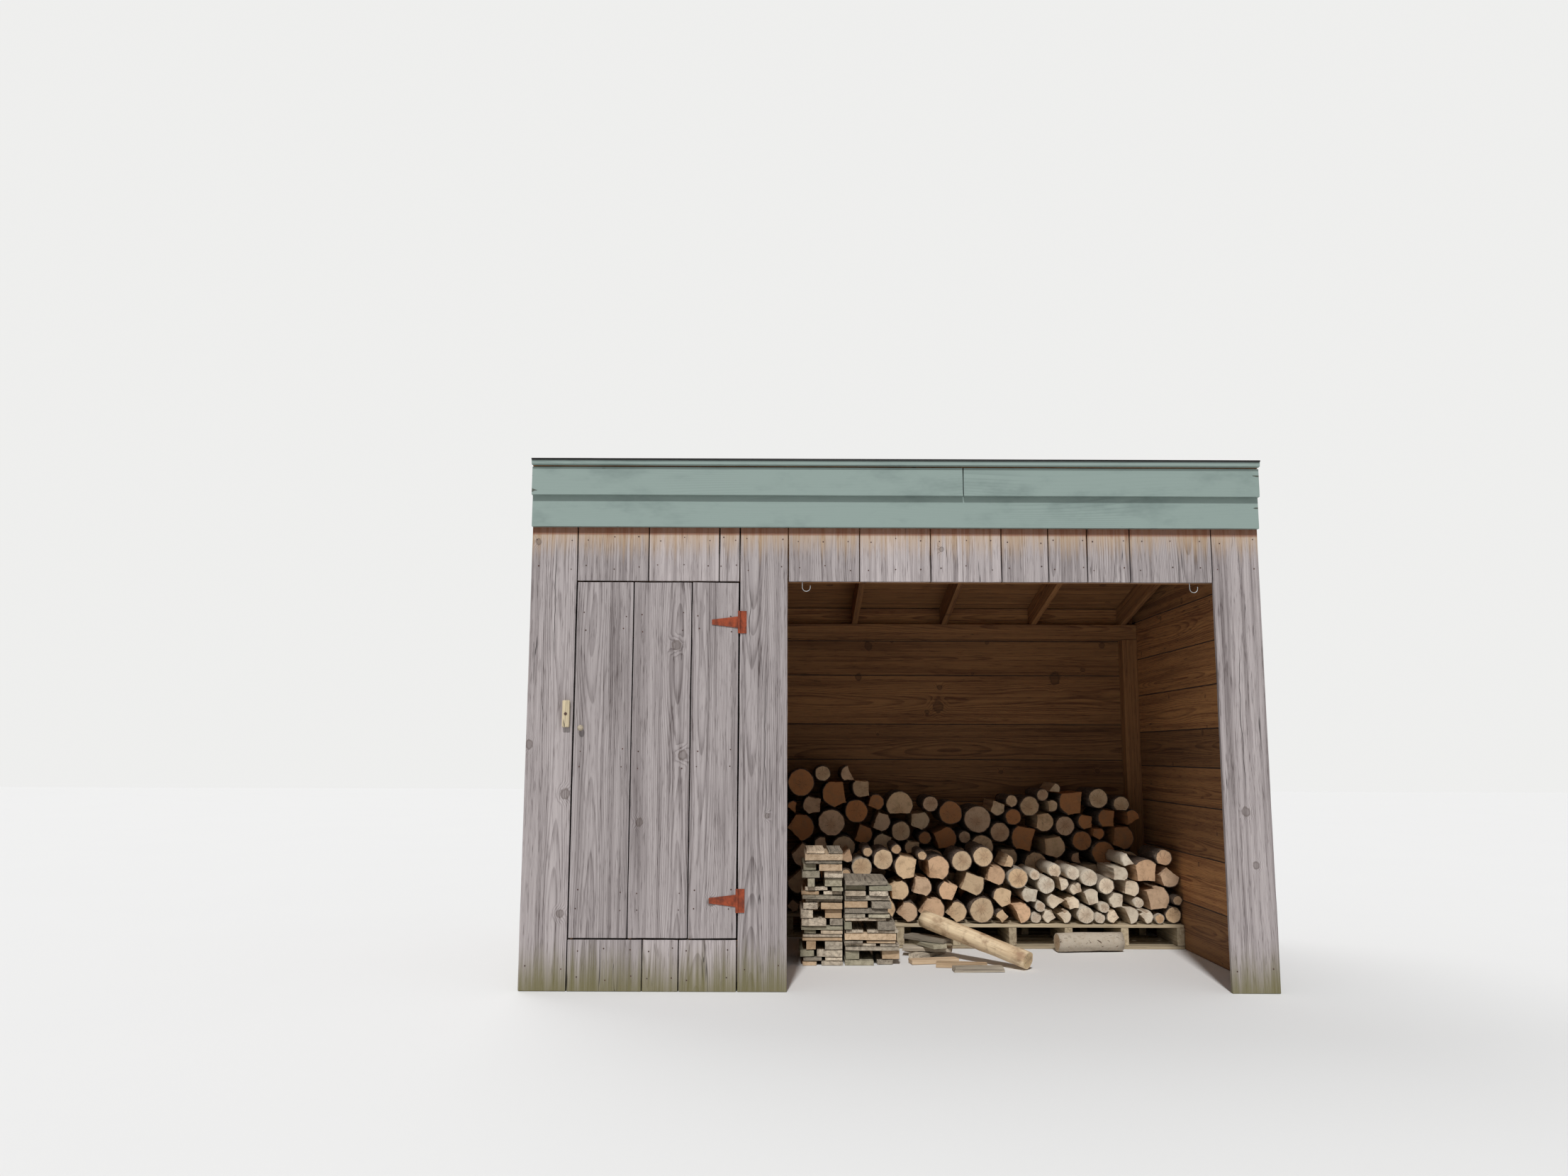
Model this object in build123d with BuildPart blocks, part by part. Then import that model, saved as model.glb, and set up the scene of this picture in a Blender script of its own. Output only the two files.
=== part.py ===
"""Log store: a board-clad shed with a closet at the left and an open log bay at the right.

The roof is a single slope that falls from the high open front to the low back wall.
Units are millimetres. X runs along the front from left to right, Y runs from the front
to the back, Z is up. The origin is on the ground, in the middle of the shed's whole box.
"""
from build123d import *
import math
import os
import random

# Overall sizes of the walls
WIDTH = 3658.0
DEPTH = 2134.0
BOARD = 25.0
BOARD_GAP = 3.0
POST = 100.0

# Front wall, from left to right, and its heights
LEFT_JAMB_WIDTH = 230.0
DOORWAY_WIDTH = 820.0
CLOSET_JAMB_WIDTH = 240.0
CORNER_WIDTH = 235.0
SILL_Z = 242.0
HEAD_Z = 1986.0

# Widths of the front boards, left to right; the last one of each row fills what is left
OVER_DOOR_WIDTHS = (357.0, 355.0)
UNDER_DOOR_WIDTHS = (360.0, 175.0)
BAY_HEADER_WIDTHS = (357.0, 357.0, 357.0, 236.0, 196.0, 214.0)
DOOR_BOARD_WIDTHS = (284.0, 291.0)

# Heights of the joints between the horizontal boards, from the ground up
BACK_JOINTS = (270.0, 550.0, 820.0, 1093.0, 1327.0, 1655.0, 1887.0)
SIDE_JOINTS = (280.0, 560.0, 840.0, 1060.0, 1277.0, 1517.0, 1757.0, 2010.0, 2290.0)

# Roof: HEADER_RISE is from the doorway's head to the deck's underside at the front
ROOF_SLOPE = 2.5 / 12.0
HEADER_RISE = 568.0
DECK_THICKNESS = 20.0
DECK_BOARD_WIDTH = 190.0
SHINGLE_THICKNESS = 6.0
SHINGLE_LAP = 8.0
RAFTER_WIDTH = 38.0
RAFTER_DEPTH = 140.0
RAFTER_PITCH = 600.0
RAFTER_SETBACK = 113.0

# Painted trim along the front: a low frieze, a fascia over it and a strip at the roof's edge
TRIM = 28.0
FRIEZE_DROP = 296.0
FRIEZE_HEIGHT = 280.0
FASCIA_DROP = 139.0
FASCIA_LENGTH = 2168.0
STRIP_DEPTH = 20.0
STRIP_DROP = 2.0
REAR_FASCIA_HEIGHT = 140.0

# Beams and rails
FRONT_PLATE_HEIGHT = 140.0
BACK_PLATE_HEIGHT = 100.0
RAIL_THICKNESS = 38.0
RAIL_HEIGHT = 140.0

# Closet floor
FLOOR_DROP = 6.0
FLOOR_BOARD_WIDTH = 150.0
JOIST_HEIGHT = 170.0
JOIST_COUNT = 7
FIT = 1.0

# Door
DOOR_GAP = 5.0
LEDGE_INSET = 55.0
LEDGE_HEIGHT = 140.0

# Hinges
HINGE_OVER_SILL = 184.0
HINGE_UNDER_HEAD = 206.0
HINGE_METAL = 4.0
KNUCKLE_RADIUS = 7.0
KNUCKLE_STANDOFF = 8.0
PIN_RADIUS = 3.0
PIN_CLEARANCE = 0.3
PLATE_WIDTH = 36.0
PLATE_HEIGHT = 112.0
STRAP_LENGTH = 136.0
STRAP_ROOT = 60.0
STRAP_TIP = 25.0
KNUCKLE_GAP = 0.5

# Knob and turn button
KNOB_INSET = 42.0
KNOB_HEIGHT = 1011.0
KNOB_RADIUS = 15.0
KNOB_LENGTH = 35.0
KNOB_NECK = 8.0
KNOB_BEVEL = 5.0
BUTTON_OUTSET = 32.0
BUTTON_HEIGHT = 1080.0
BUTTON_LENGTH = 134.0
BUTTON_WIDTH = 37.0
BUTTON_THICKNESS = 22.0
BUTTON_SPACER = 5.0
BUTTON_PIN = 4.0
BUTTON_CLEARANCE = 0.3

# Wire hooks under the head of the bay
HOOK_WIRE = 4.0
HOOK_SHANK = 28.0
HOOK_RADIUS = 20.0
HOOK_TIP = 14.0
LEFT_HOOK_INSET = 72.0
RIGHT_HOOK_INSET = 115.0

# Firewood: a long back row and a lower front row, each on its own pallet
LOG_LENGTH = 400.0
LOG_GAP = 0.4
ROW_GAP = 21.0
WALL_GAP = 0.3
FRONT_ROW_INSET = 320.0
FRONT_RADII = (80.0, 66.0, 54.0, 44.0, 34.0)
BACK_RADII = (92.0, 80.0, 68.0, 56.0, 44.0)
END_STEPS = (0.0, 9.0, 18.0, 30.0)
WIDEST_TURN = math.radians(150)
BARK_FACET = math.radians(36)
LOOSE_CORNERS = (math.radians(17), math.radians(138), math.radians(258))

# Top line of each row as (share of its length, height)
FRONT_ROW_TOP = (
    (0.0, 600.0),
    (0.16, 610.0),
    (0.3, 565.0),
    (0.42, 610.0),
    (0.5, 540.0),
    (0.56, 460.0),
    (0.63, 510.0),
    (0.7, 470.0),
    (0.8, 480.0),
    (0.84, 560.0),
    (0.95, 585.0),
    (1.0, 560.0),
)
BACK_ROW_TOP = (
    (0.0, 1080.0),
    (0.17, 1085.0),
    (0.24, 950.0),
    (0.3, 950.0),
    (0.36, 870.0),
    (0.43, 930.0),
    (0.55, 840.0),
    (0.64, 900.0),
    (0.8, 980.0),
    (0.92, 955.0),
    (1.0, 760.0),
)

# Thin logs only in this share of the front row; the thinnest ones are never split
THIN_FROM = 0.55
THIN_TO = 0.86
THIN_RADIUS = 55.0
SPLIT_FROM_RADIUS = 40.0
MOST_SPLIT_CONTACTS = 4
LEVEL_CONTACT = math.radians(20)

# Pallets
PALLET_HEIGHT = 140.0
PALLET_SLAT = 18.0
PALLET_RUNNER = 45.0
PALLET_RUNNER_PITCH = 390.0
PALLET_SLAT_WIDTH = 90.0
PALLET_SLAT_PITCH = 135.0

# Pile of off-cut boards in two columns, each as (left edge, right edge, height, layers of bearers)
OFFCUT_INSET = 66.0
OFFCUT_TO_ROW = 165.0
OFFCUT_DEPTH = 420.0
OFFCUT_COLUMNS = ((0.0, 244.0, 600.0, (3, 9, 15)), (246.0, 520.0, 425.0, (1, 7)))
OFFCUT_THICKNESSES = (16.0, 22.0, 28.0, 38.0)
OFFCUT_BEARER = 60.0
OFFCUT_BEARER_HEIGHT = 48.0
OFFCUT_GAP = 8.0
OFFCUT_JUMBLE = 40.0
OFFCUT_PAIR_SHARE = 0.5
OFFCUT_TOE = 36.0
OFFCUT_TOE_HEIGHT = 230.0
FLAT_GAP = 0.3

# Loose logs before the front row: a peeled one that leans on spilled off-cuts, and one with bark
PEELED_RADIUS = 52.0
PEELED_LENGTH = 700.0
PEELED_INSET = 1270.0
PEELED_TO_ROW = 690.0
PEELED_YAW = 137.0
SPILL_LENGTH = 290.0
SPILL_WIDTH = 95.0
SPILL_THICKNESS = 28.0
SPILL_YAWS = (95.0, 32.0, -24.0, 0.0)
SPILL_REACH = 500.0

# Spilled boards that lie flat on the ground as (place from the near end of the peeled log, yaw)
FLAT_BOARDS = (((-466.0, 209.0), 12.0), ((-331.0, 84.0), -8.0), ((-261.0, -34.0), 3.0))
FLAT_BOARD_LENGTH = 280.0
FLAT_BOARD_WIDTH = 82.0

BARK_LOG_RADIUS = 58.0
BARK_LOG_LENGTH = 390.0
BARK_LOG_INSET = 395.0
BARK_LOG_TO_ROW = 120.0
BARK_LOG_YAW = 6.0

# Places that follow from the sizes
LEFT = -WIDTH / 2
RIGHT = WIDTH / 2
FRONT = -DEPTH / 2
BACK = DEPTH / 2
FRONT_IN = FRONT + BOARD
BACK_IN = BACK - BOARD
LEFT_IN = LEFT + BOARD
RIGHT_IN = RIGHT - BOARD
DOOR_LEFT = LEFT + LEFT_JAMB_WIDTH
DOOR_RIGHT = DOOR_LEFT + DOORWAY_WIDTH
BAY_LEFT = DOOR_RIGHT + CLOSET_JAMB_WIDTH
BAY_RIGHT = RIGHT - CORNER_WIDTH
PARTITION_IN = BAY_LEFT - BOARD
ROOF_ANGLE = math.atan(ROOF_SLOPE)
ROOF_Z = HEAD_Z + HEADER_RISE
FRIEZE_BOTTOM = ROOF_Z - FRIEZE_DROP
FASCIA_BOTTOM = ROOF_Z - FASCIA_DROP
FLOOR_TOP = SILL_Z - FLOOR_DROP
EAVE = 2 * TRIM
STRIP_FRONT = FRONT - EAVE - STRIP_DEPTH
STRIP_BACK = BACK + EAVE + STRIP_DEPTH


def roof_z(y):
    """Height of the roof deck's underside at depth y."""
    return ROOF_Z - (y - FRONT) * ROOF_SLOPE


def sloped_profile(y_from, y_to, rise, thickness):
    """Closed outline in the YZ plane of a layer that follows the roof's slope."""
    low, high = roof_z(y_from) + rise, roof_z(y_to) + rise
    Polyline(
        (y_from, low),
        (y_to, high),
        (y_to, high + thickness),
        (y_from, low + thickness),
        close=True,
    )


def vertical_boards(x_from, x_to, widths, z_from, z_to, y_outer, thickness=BOARD):
    """Row of upright boards with gaps between them; the last one fills what is left."""
    middle = ((x_from + x_to) / 2, y_outer + thickness / 2, (z_from + z_to) / 2)
    with Locations(middle):
        Box(x_to - x_from, thickness, z_to - z_from)
    edge = x_from
    for width in widths:
        edge += width
        with Locations((edge, middle[1], middle[2])):
            Box(BOARD_GAP, 2 * thickness, 2 * z_to, mode=Mode.SUBTRACT)


def side_wall_boards(x_from, joints):
    """Horizontal boards whose top one is cut to the roof's slope."""
    with BuildSketch(Plane.YZ.offset(x_from)) as outline:
        with BuildLine():
            Polyline(
                (FRONT_IN, 0),
                (BACK_IN, 0),
                (BACK_IN, roof_z(BACK_IN)),
                (FRONT_IN, roof_z(FRONT_IN)),
                close=True,
            )
        make_face()
    extrude(outline.sketch, amount=BOARD)
    for joint in joints:
        with Locations((x_from + BOARD / 2, 0, joint)):
            Box(3 * BOARD, DEPTH, BOARD_GAP, mode=Mode.SUBTRACT)


def finish(part, name):
    """Label the piece and write its file."""
    part.label = name
    export_step(part, "parts/" + name + ".step")


os.makedirs("parts", exist_ok=True)

# Posts: three along the front and three along the back
FRONT_PLATE_TOP = roof_z(FRONT_IN) - RAFTER_DEPTH / math.cos(ROOF_ANGLE)
FRONT_PLATE_BOTTOM = FRONT_PLATE_TOP - FRONT_PLATE_HEIGHT
BACK_PLATE_TOP = roof_z(BACK_IN - POST) - RAFTER_DEPTH / math.cos(ROOF_ANGLE)
BACK_PLATE_BOTTOM = BACK_PLATE_TOP - BACK_PLATE_HEIGHT
POST_XS = {
    "left": LEFT_IN + POST / 2,
    "middle": PARTITION_IN - POST / 2,
    "right": RIGHT_IN - POST / 2,
}
POST_ROWS = {
    "front": (FRONT_IN + POST / 2, FRONT_PLATE_BOTTOM),
    "back": (BACK_IN - POST / 2, BACK_PLATE_BOTTOM),
}
for row, (post_y, post_top) in POST_ROWS.items():
    for side, post_x in POST_XS.items():
        with BuildPart() as post:
            with Locations((post_x, post_y, post_top / 2)):
                Box(POST, POST, post_top)
        finish(post.part, row + "_" + side + "_post")

with BuildPart() as front_plate:
    with Locations((0, FRONT_IN + POST / 2, FRONT_PLATE_TOP - FRONT_PLATE_HEIGHT / 2)):
        Box(RIGHT_IN - LEFT_IN, POST, FRONT_PLATE_HEIGHT)
finish(front_plate.part, "front_plate")

with BuildPart() as back_plate:
    with Locations((0, BACK_IN - POST / 2, BACK_PLATE_TOP - BACK_PLATE_HEIGHT / 2)):
        Box(RIGHT_IN - LEFT_IN, POST, BACK_PLATE_HEIGHT)
finish(back_plate.part, "back_plate")

# Rails behind the front boards, between the posts
with BuildPart() as door_head_rail:
    rail_left = LEFT_IN + POST
    rail_right = PARTITION_IN - POST
    with Locations(((rail_left + rail_right) / 2, FRONT_IN + RAIL_THICKNESS / 2, HEAD_Z + RAIL_HEIGHT / 2)):
        Box(rail_right - rail_left, RAIL_THICKNESS, RAIL_HEIGHT)
finish(door_head_rail.part, "door_head_rail")

with BuildPart() as bay_head_rail:
    rail_left = BAY_LEFT
    rail_right = RIGHT_IN - POST
    with Locations(((rail_left + rail_right) / 2, FRONT_IN + RAIL_THICKNESS / 2, HEAD_Z + RAIL_HEIGHT / 2)):
        Box(rail_right - rail_left, RAIL_THICKNESS, RAIL_HEIGHT)
finish(bay_head_rail.part, "bay_head_rail")

# Rafters at an even pitch from the right end, notched level over both plates
RAFTER_XS = [LEFT + RAFTER_SETBACK]
next_rafter = RIGHT - RAFTER_SETBACK
while next_rafter > RAFTER_XS[0] + 2 * RAFTER_WIDTH:
    RAFTER_XS.append(next_rafter)
    next_rafter -= RAFTER_PITCH
with BuildPart() as rafters:
    for rafter_x in RAFTER_XS:
        with BuildSketch(Plane.YZ.offset(rafter_x - RAFTER_WIDTH / 2)):
            with BuildLine():
                Polyline(
                    (FRONT_IN, roof_z(FRONT_IN)),
                    (FRONT_IN, FRONT_PLATE_TOP),
                    (FRONT_IN + POST, FRONT_PLATE_TOP),
                    (FRONT_IN + POST, FRONT_PLATE_TOP - POST * ROOF_SLOPE),
                    (BACK_IN - POST, BACK_PLATE_TOP),
                    (BACK_IN, BACK_PLATE_TOP),
                    (BACK_IN, roof_z(BACK_IN)),
                    close=True,
                )
            make_face()
        extrude(amount=RAFTER_WIDTH)
finish(rafters.part, "rafters")

# Roof deck of boards that run along the front, and its covering
with BuildPart() as roof_deck:
    deck_from = FRONT - EAVE
    deck_to = BACK + EAVE
    board_count = math.ceil((deck_to - deck_from) / DECK_BOARD_WIDTH)
    step = (deck_to - deck_from) / board_count
    for index in range(board_count):
        with BuildSketch(Plane.YZ.offset(LEFT)):
            with BuildLine():
                start = deck_from + index * step
                sloped_profile(start, start + step - BOARD_GAP, 0, DECK_THICKNESS)
            make_face()
        extrude(amount=WIDTH)
finish(roof_deck.part, "roof_deck")

with BuildPart() as roof_covering:
    with BuildSketch(Plane.YZ.offset(LEFT)):
        with BuildLine():
            sloped_profile(
                STRIP_FRONT - SHINGLE_LAP, STRIP_BACK + SHINGLE_LAP, DECK_THICKNESS, SHINGLE_THICKNESS
            )
        make_face()
    extrude(amount=WIDTH)
finish(roof_covering.part, "roof_covering")

# Painted trim
for name, strip_y in (("roof_edge_strip", STRIP_FRONT), ("rear_edge_strip", BACK + EAVE)):
    with BuildPart() as edge_strip:
        with BuildSketch(Plane.YZ.offset(LEFT)):
            with BuildLine():
                sloped_profile(strip_y, strip_y + STRIP_DEPTH, -STRIP_DROP, DECK_THICKNESS + STRIP_DROP)
            make_face()
        extrude(amount=WIDTH)
    finish(edge_strip.part, name)

with BuildPart() as lower_frieze:
    with Locations((0, FRONT - TRIM / 2, FRIEZE_BOTTOM + FRIEZE_HEIGHT / 2)):
        Box(WIDTH, TRIM, FRIEZE_HEIGHT)
finish(lower_frieze.part, "lower_frieze")

with BuildPart() as upper_fascia:
    fascia_top = roof_z(FRONT - TRIM)
    fascia_z = (FASCIA_BOTTOM + fascia_top) / 2
    fascia_joint = LEFT + FASCIA_LENGTH
    for fascia_left, fascia_right in ((LEFT, fascia_joint), (fascia_joint + BOARD_GAP, RIGHT)):
        with Locations(((fascia_left + fascia_right) / 2, FRONT - 1.5 * TRIM, fascia_z)):
            Box(fascia_right - fascia_left, TRIM, fascia_top - FASCIA_BOTTOM)
finish(upper_fascia.part, "upper_fascia")

with BuildPart() as rear_fascia:
    rear_top = roof_z(BACK + TRIM)
    with Locations((0, BACK + TRIM / 2, rear_top - REAR_FASCIA_HEIGHT / 2)):
        Box(WIDTH, TRIM, REAR_FASCIA_HEIGHT)
finish(rear_fascia.part, "rear_fascia")

# Front boards
FRONT_TOP = roof_z(FRONT_IN)
FRONT_ROWS = {
    "left_jamb_board": (LEFT, DOOR_LEFT, (), 0.0, FRONT_TOP),
    "boards_over_door": (DOOR_LEFT + BOARD_GAP, DOOR_RIGHT - BOARD_GAP, OVER_DOOR_WIDTHS, HEAD_Z, FRONT_TOP),
    "boards_under_door": (DOOR_LEFT + BOARD_GAP, DOOR_RIGHT - BOARD_GAP, UNDER_DOOR_WIDTHS, 0.0, SILL_Z),
    "closet_jamb_board": (DOOR_RIGHT, BAY_LEFT, (), 0.0, FRONT_TOP),
    "bay_header_boards": (BAY_LEFT + BOARD_GAP, BAY_RIGHT - BOARD_GAP, BAY_HEADER_WIDTHS, HEAD_Z, FRONT_TOP),
    "corner_board": (BAY_RIGHT, RIGHT, (), 0.0, FRONT_TOP),
}
for name, (x_from, x_to, widths, z_from, z_to) in FRONT_ROWS.items():
    with BuildPart() as front_boards:
        vertical_boards(x_from, x_to, widths, z_from, z_to, FRONT)
    finish(front_boards.part, name)

# Back, side and partition boards
with BuildPart() as back_wall:
    back_top = roof_z(BACK)
    with Locations((0, BACK - BOARD / 2, back_top / 2)):
        Box(WIDTH, BOARD, back_top)
    for joint in BACK_JOINTS:
        with Locations((0, BACK - BOARD / 2, joint)):
            Box(2 * WIDTH, 3 * BOARD, BOARD_GAP, mode=Mode.SUBTRACT)
finish(back_wall.part, "back_wall")

with BuildPart() as left_wall:
    side_wall_boards(LEFT, SIDE_JOINTS)
finish(left_wall.part, "left_wall")

with BuildPart() as right_wall:
    side_wall_boards(RIGHT_IN, SIDE_JOINTS)
finish(right_wall.part, "right_wall")

with BuildPart() as closet_inner_wall:
    side_wall_boards(PARTITION_IN, SIDE_JOINTS)
    for plate_y, plate_z, plate_height in (
        (FRONT_IN + POST / 2, FRONT_PLATE_TOP - FRONT_PLATE_HEIGHT / 2, FRONT_PLATE_HEIGHT),
        (BACK_IN - POST / 2, BACK_PLATE_TOP - BACK_PLATE_HEIGHT / 2, BACK_PLATE_HEIGHT),
    ):
        with Locations((PARTITION_IN + BOARD / 2, plate_y, plate_z)):
            Box(3 * BOARD, POST + 2 * FIT, plate_height + 2 * FIT, mode=Mode.SUBTRACT)
finish(closet_inner_wall.part, "closet_inner_wall")

# Closet floor on joists that run from wall to wall; the end ones fit between the posts
with BuildPart() as closet_floor_joists:
    joist_z = FLOOR_TOP - BOARD - JOIST_HEIGHT / 2
    closet_middle = (LEFT_IN + PARTITION_IN) / 2
    closet_span = PARTITION_IN - LEFT_IN
    first_joist_y = FRONT_IN + RAIL_THICKNESS / 2
    joist_step = (BACK_IN - FRONT_IN - RAIL_THICKNESS) / (JOIST_COUNT - 1)
    for index in range(JOIST_COUNT):
        at_post = index in (0, JOIST_COUNT - 1)
        with Locations((closet_middle, first_joist_y + index * joist_step, joist_z)):
            Box(closet_span - (2 * POST if at_post else 0), RAIL_THICKNESS, JOIST_HEIGHT)
finish(closet_floor_joists.part, "closet_floor_joists")

with BuildPart() as closet_floor:
    floor_depth = BACK_IN - FRONT_IN
    with Locations((closet_middle, 0, FLOOR_TOP - BOARD / 2)):
        Box(PARTITION_IN - LEFT_IN, floor_depth, BOARD)
    for corner_x in (POST_XS["left"], POST_XS["middle"]):
        for corner_y, _ in POST_ROWS.values():
            with Locations((corner_x, corner_y, FLOOR_TOP - BOARD / 2)):
                Box(POST + 2 * FIT, POST + 2 * FIT, 2 * BOARD, mode=Mode.SUBTRACT)
    floor_count = math.ceil(floor_depth / FLOOR_BOARD_WIDTH)
    floor_step = floor_depth / floor_count
    for index in range(1, floor_count):
        with Locations((closet_middle, FRONT_IN + index * floor_step, FLOOR_TOP - BOARD / 2)):
            Box(WIDTH, BOARD_GAP, 3 * BOARD, mode=Mode.SUBTRACT)
finish(closet_floor.part, "closet_floor")

# Door: three boards on three ledges
DOOR_X0 = DOOR_LEFT + DOOR_GAP
DOOR_X1 = DOOR_RIGHT - DOOR_GAP
DOOR_Z0 = SILL_Z + DOOR_GAP
DOOR_Z1 = HEAD_Z - DOOR_GAP
with BuildPart() as door_boards:
    vertical_boards(DOOR_X0, DOOR_X1, DOOR_BOARD_WIDTHS, DOOR_Z0, DOOR_Z1, FRONT)
finish(door_boards.part, "door_boards")

HINGE_ZS = (SILL_Z + HINGE_OVER_SILL, HEAD_Z - HINGE_UNDER_HEAD)
with BuildPart() as door_ledges:
    for ledge_z in (HINGE_ZS[0], sum(HINGE_ZS) / 2, HINGE_ZS[1]):
        with Locations(((DOOR_X0 + DOOR_X1) / 2, FRONT_IN + BOARD / 2, ledge_z)):
            Box(DOOR_X1 - DOOR_X0 - 2 * LEDGE_INSET, BOARD, LEDGE_HEIGHT)
finish(door_ledges.part, "door_ledges")

# Hinges: a plate with two knuckles and the pin, and a strap with the middle knuckle
HINGE_X = DOOR_RIGHT - DOOR_GAP / 2
HINGE_Y = FRONT - KNUCKLE_STANDOFF
METAL_Y = FRONT - HINGE_METAL / 2
MIDDLE_KNUCKLE = STRAP_ROOT - 2 * KNUCKLE_GAP
for place, hinge_z in zip(("lower", "upper"), HINGE_ZS):
    with BuildPart() as hinge_plate:
        with Locations((HINGE_X + PLATE_WIDTH / 2 + KNUCKLE_GAP, METAL_Y, hinge_z)):
            Box(PLATE_WIDTH, HINGE_METAL, PLATE_HEIGHT)
        with Locations((HINGE_X, HINGE_Y, hinge_z)):
            Cylinder(KNUCKLE_RADIUS, PLATE_HEIGHT)
            Cylinder(
                KNUCKLE_RADIUS + KNUCKLE_GAP,
                STRAP_ROOT,
                mode=Mode.SUBTRACT,
            )
            Cylinder(PIN_RADIUS, PLATE_HEIGHT)
    finish(hinge_plate.part, place + "_hinge_plate")

    with BuildPart() as hinge_strap:
        with BuildSketch(Plane.XZ.offset(-FRONT)):
            with BuildLine():
                Polyline(
                    (HINGE_X, hinge_z - MIDDLE_KNUCKLE / 2),
                    (HINGE_X, hinge_z + MIDDLE_KNUCKLE / 2),
                    (HINGE_X - STRAP_LENGTH, hinge_z + STRAP_TIP / 2),
                    (HINGE_X - STRAP_LENGTH, hinge_z - STRAP_TIP / 2),
                    close=True,
                )
            make_face()
        extrude(amount=HINGE_METAL)
        with Locations((HINGE_X, HINGE_Y, hinge_z)):
            Cylinder(KNUCKLE_RADIUS, MIDDLE_KNUCKLE)
            Cylinder(PIN_RADIUS + PIN_CLEARANCE, PLATE_HEIGHT, mode=Mode.SUBTRACT)
    finish(hinge_strap.part, place + "_hinge_strap")

# Turned knob on the door
KNOB_X = DOOR_LEFT + KNOB_INSET
KNOB_Z = SILL_Z + KNOB_HEIGHT
with BuildPart() as door_knob:
    with BuildSketch(Plane((KNOB_X, FRONT, KNOB_Z), x_dir=(1, 0, 0), z_dir=(0, 0, 1))):
        with BuildLine():
            Polyline(
                (0, 0),
                (KNOB_NECK, 0),
                (KNOB_RADIUS, -KNOB_LENGTH / 2),
                (KNOB_RADIUS - KNOB_BEVEL, -KNOB_LENGTH),
                (0, -KNOB_LENGTH),
                close=True,
            )
        make_face()
    revolve(axis=Axis((KNOB_X, FRONT, KNOB_Z), (0, 1, 0)))
finish(door_knob.part, "door_knob")

# Turn button: upright at rest, on a spacer and a pin that the jamb board holds
BUTTON_X = DOOR_LEFT - BUTTON_OUTSET
BUTTON_Z = SILL_Z + BUTTON_HEIGHT
PIN_HEAD_FROM = BUTTON_SPACER + BUTTON_THICKNESS + BUTTON_CLEARANCE
with BuildPart() as button_pin:
    with BuildSketch(Plane.XZ.offset(-FRONT)):
        with Locations((BUTTON_X, BUTTON_Z)):
            RegularPolygon(2.5 * BUTTON_PIN, 8)
    extrude(amount=BUTTON_SPACER - BUTTON_CLEARANCE)
    with BuildSketch(Plane.XZ.offset(-FRONT)):
        with Locations((BUTTON_X, BUTTON_Z)):
            Circle(BUTTON_PIN)
    extrude(amount=PIN_HEAD_FROM)
    with BuildSketch(Plane.XZ.offset(-FRONT + PIN_HEAD_FROM)):
        with Locations((BUTTON_X, BUTTON_Z)):
            RegularPolygon(2 * BUTTON_PIN, 6)
    extrude(amount=BUTTON_PIN / 2)
finish(button_pin.part, "button_pin")

with BuildPart() as turn_button:
    with BuildSketch(Plane.XZ.offset(-FRONT + BUTTON_SPACER)) as button_outline:
        with Locations((BUTTON_X, BUTTON_Z)):
            Rectangle(BUTTON_WIDTH, BUTTON_LENGTH)
        chamfer(button_outline.vertices(), BUTTON_WIDTH / 8)
        with Locations((BUTTON_X, BUTTON_Z)):
            Circle(BUTTON_PIN + BUTTON_CLEARANCE, mode=Mode.SUBTRACT)
    extrude(amount=BUTTON_THICKNESS)
    outer_face = turn_button.faces().sort_by(Axis.Y)[0]
    chamfer(outer_face.outer_wire().edges(), BUTTON_WIDTH / 12)
finish(turn_button.part, "turn_button")

# Wire hooks under the head boards
with BuildPart() as wire_hooks:
    for hook_x in (BAY_LEFT + LEFT_HOOK_INSET, BAY_RIGHT - RIGHT_HOOK_INSET):
        with BuildLine(Plane.XZ.offset(-FRONT - BOARD / 2)) as hook_line:
            Line((hook_x, HEAD_Z), (hook_x, HEAD_Z - HOOK_SHANK))
            ThreePointArc(
                (hook_x, HEAD_Z - HOOK_SHANK),
                (hook_x + HOOK_RADIUS, HEAD_Z - HOOK_SHANK - HOOK_RADIUS),
                (hook_x + 2 * HOOK_RADIUS, HEAD_Z - HOOK_SHANK),
            )
            Line(
                (hook_x + 2 * HOOK_RADIUS, HEAD_Z - HOOK_SHANK),
                (hook_x + 2 * HOOK_RADIUS, HEAD_Z - HOOK_SHANK + HOOK_TIP),
            )
        with BuildSketch(Plane((hook_x, FRONT + BOARD / 2, HEAD_Z), z_dir=(0, 0, -1))) as wire_end:
            RegularPolygon(HOOK_WIRE / 2, 6)
        sweep(wire_end.sketch, path=hook_line.wire())
finish(wire_hooks.part, "wire_hooks")


def overlaps(x, z, radius, placed):
    """True if a log would reach into one that is already stacked."""
    for px, pz, pr in placed:
        if math.hypot(px - x, pz - z) < pr + radius + LOG_GAP - 1e-6:
            return True
    return False


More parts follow.
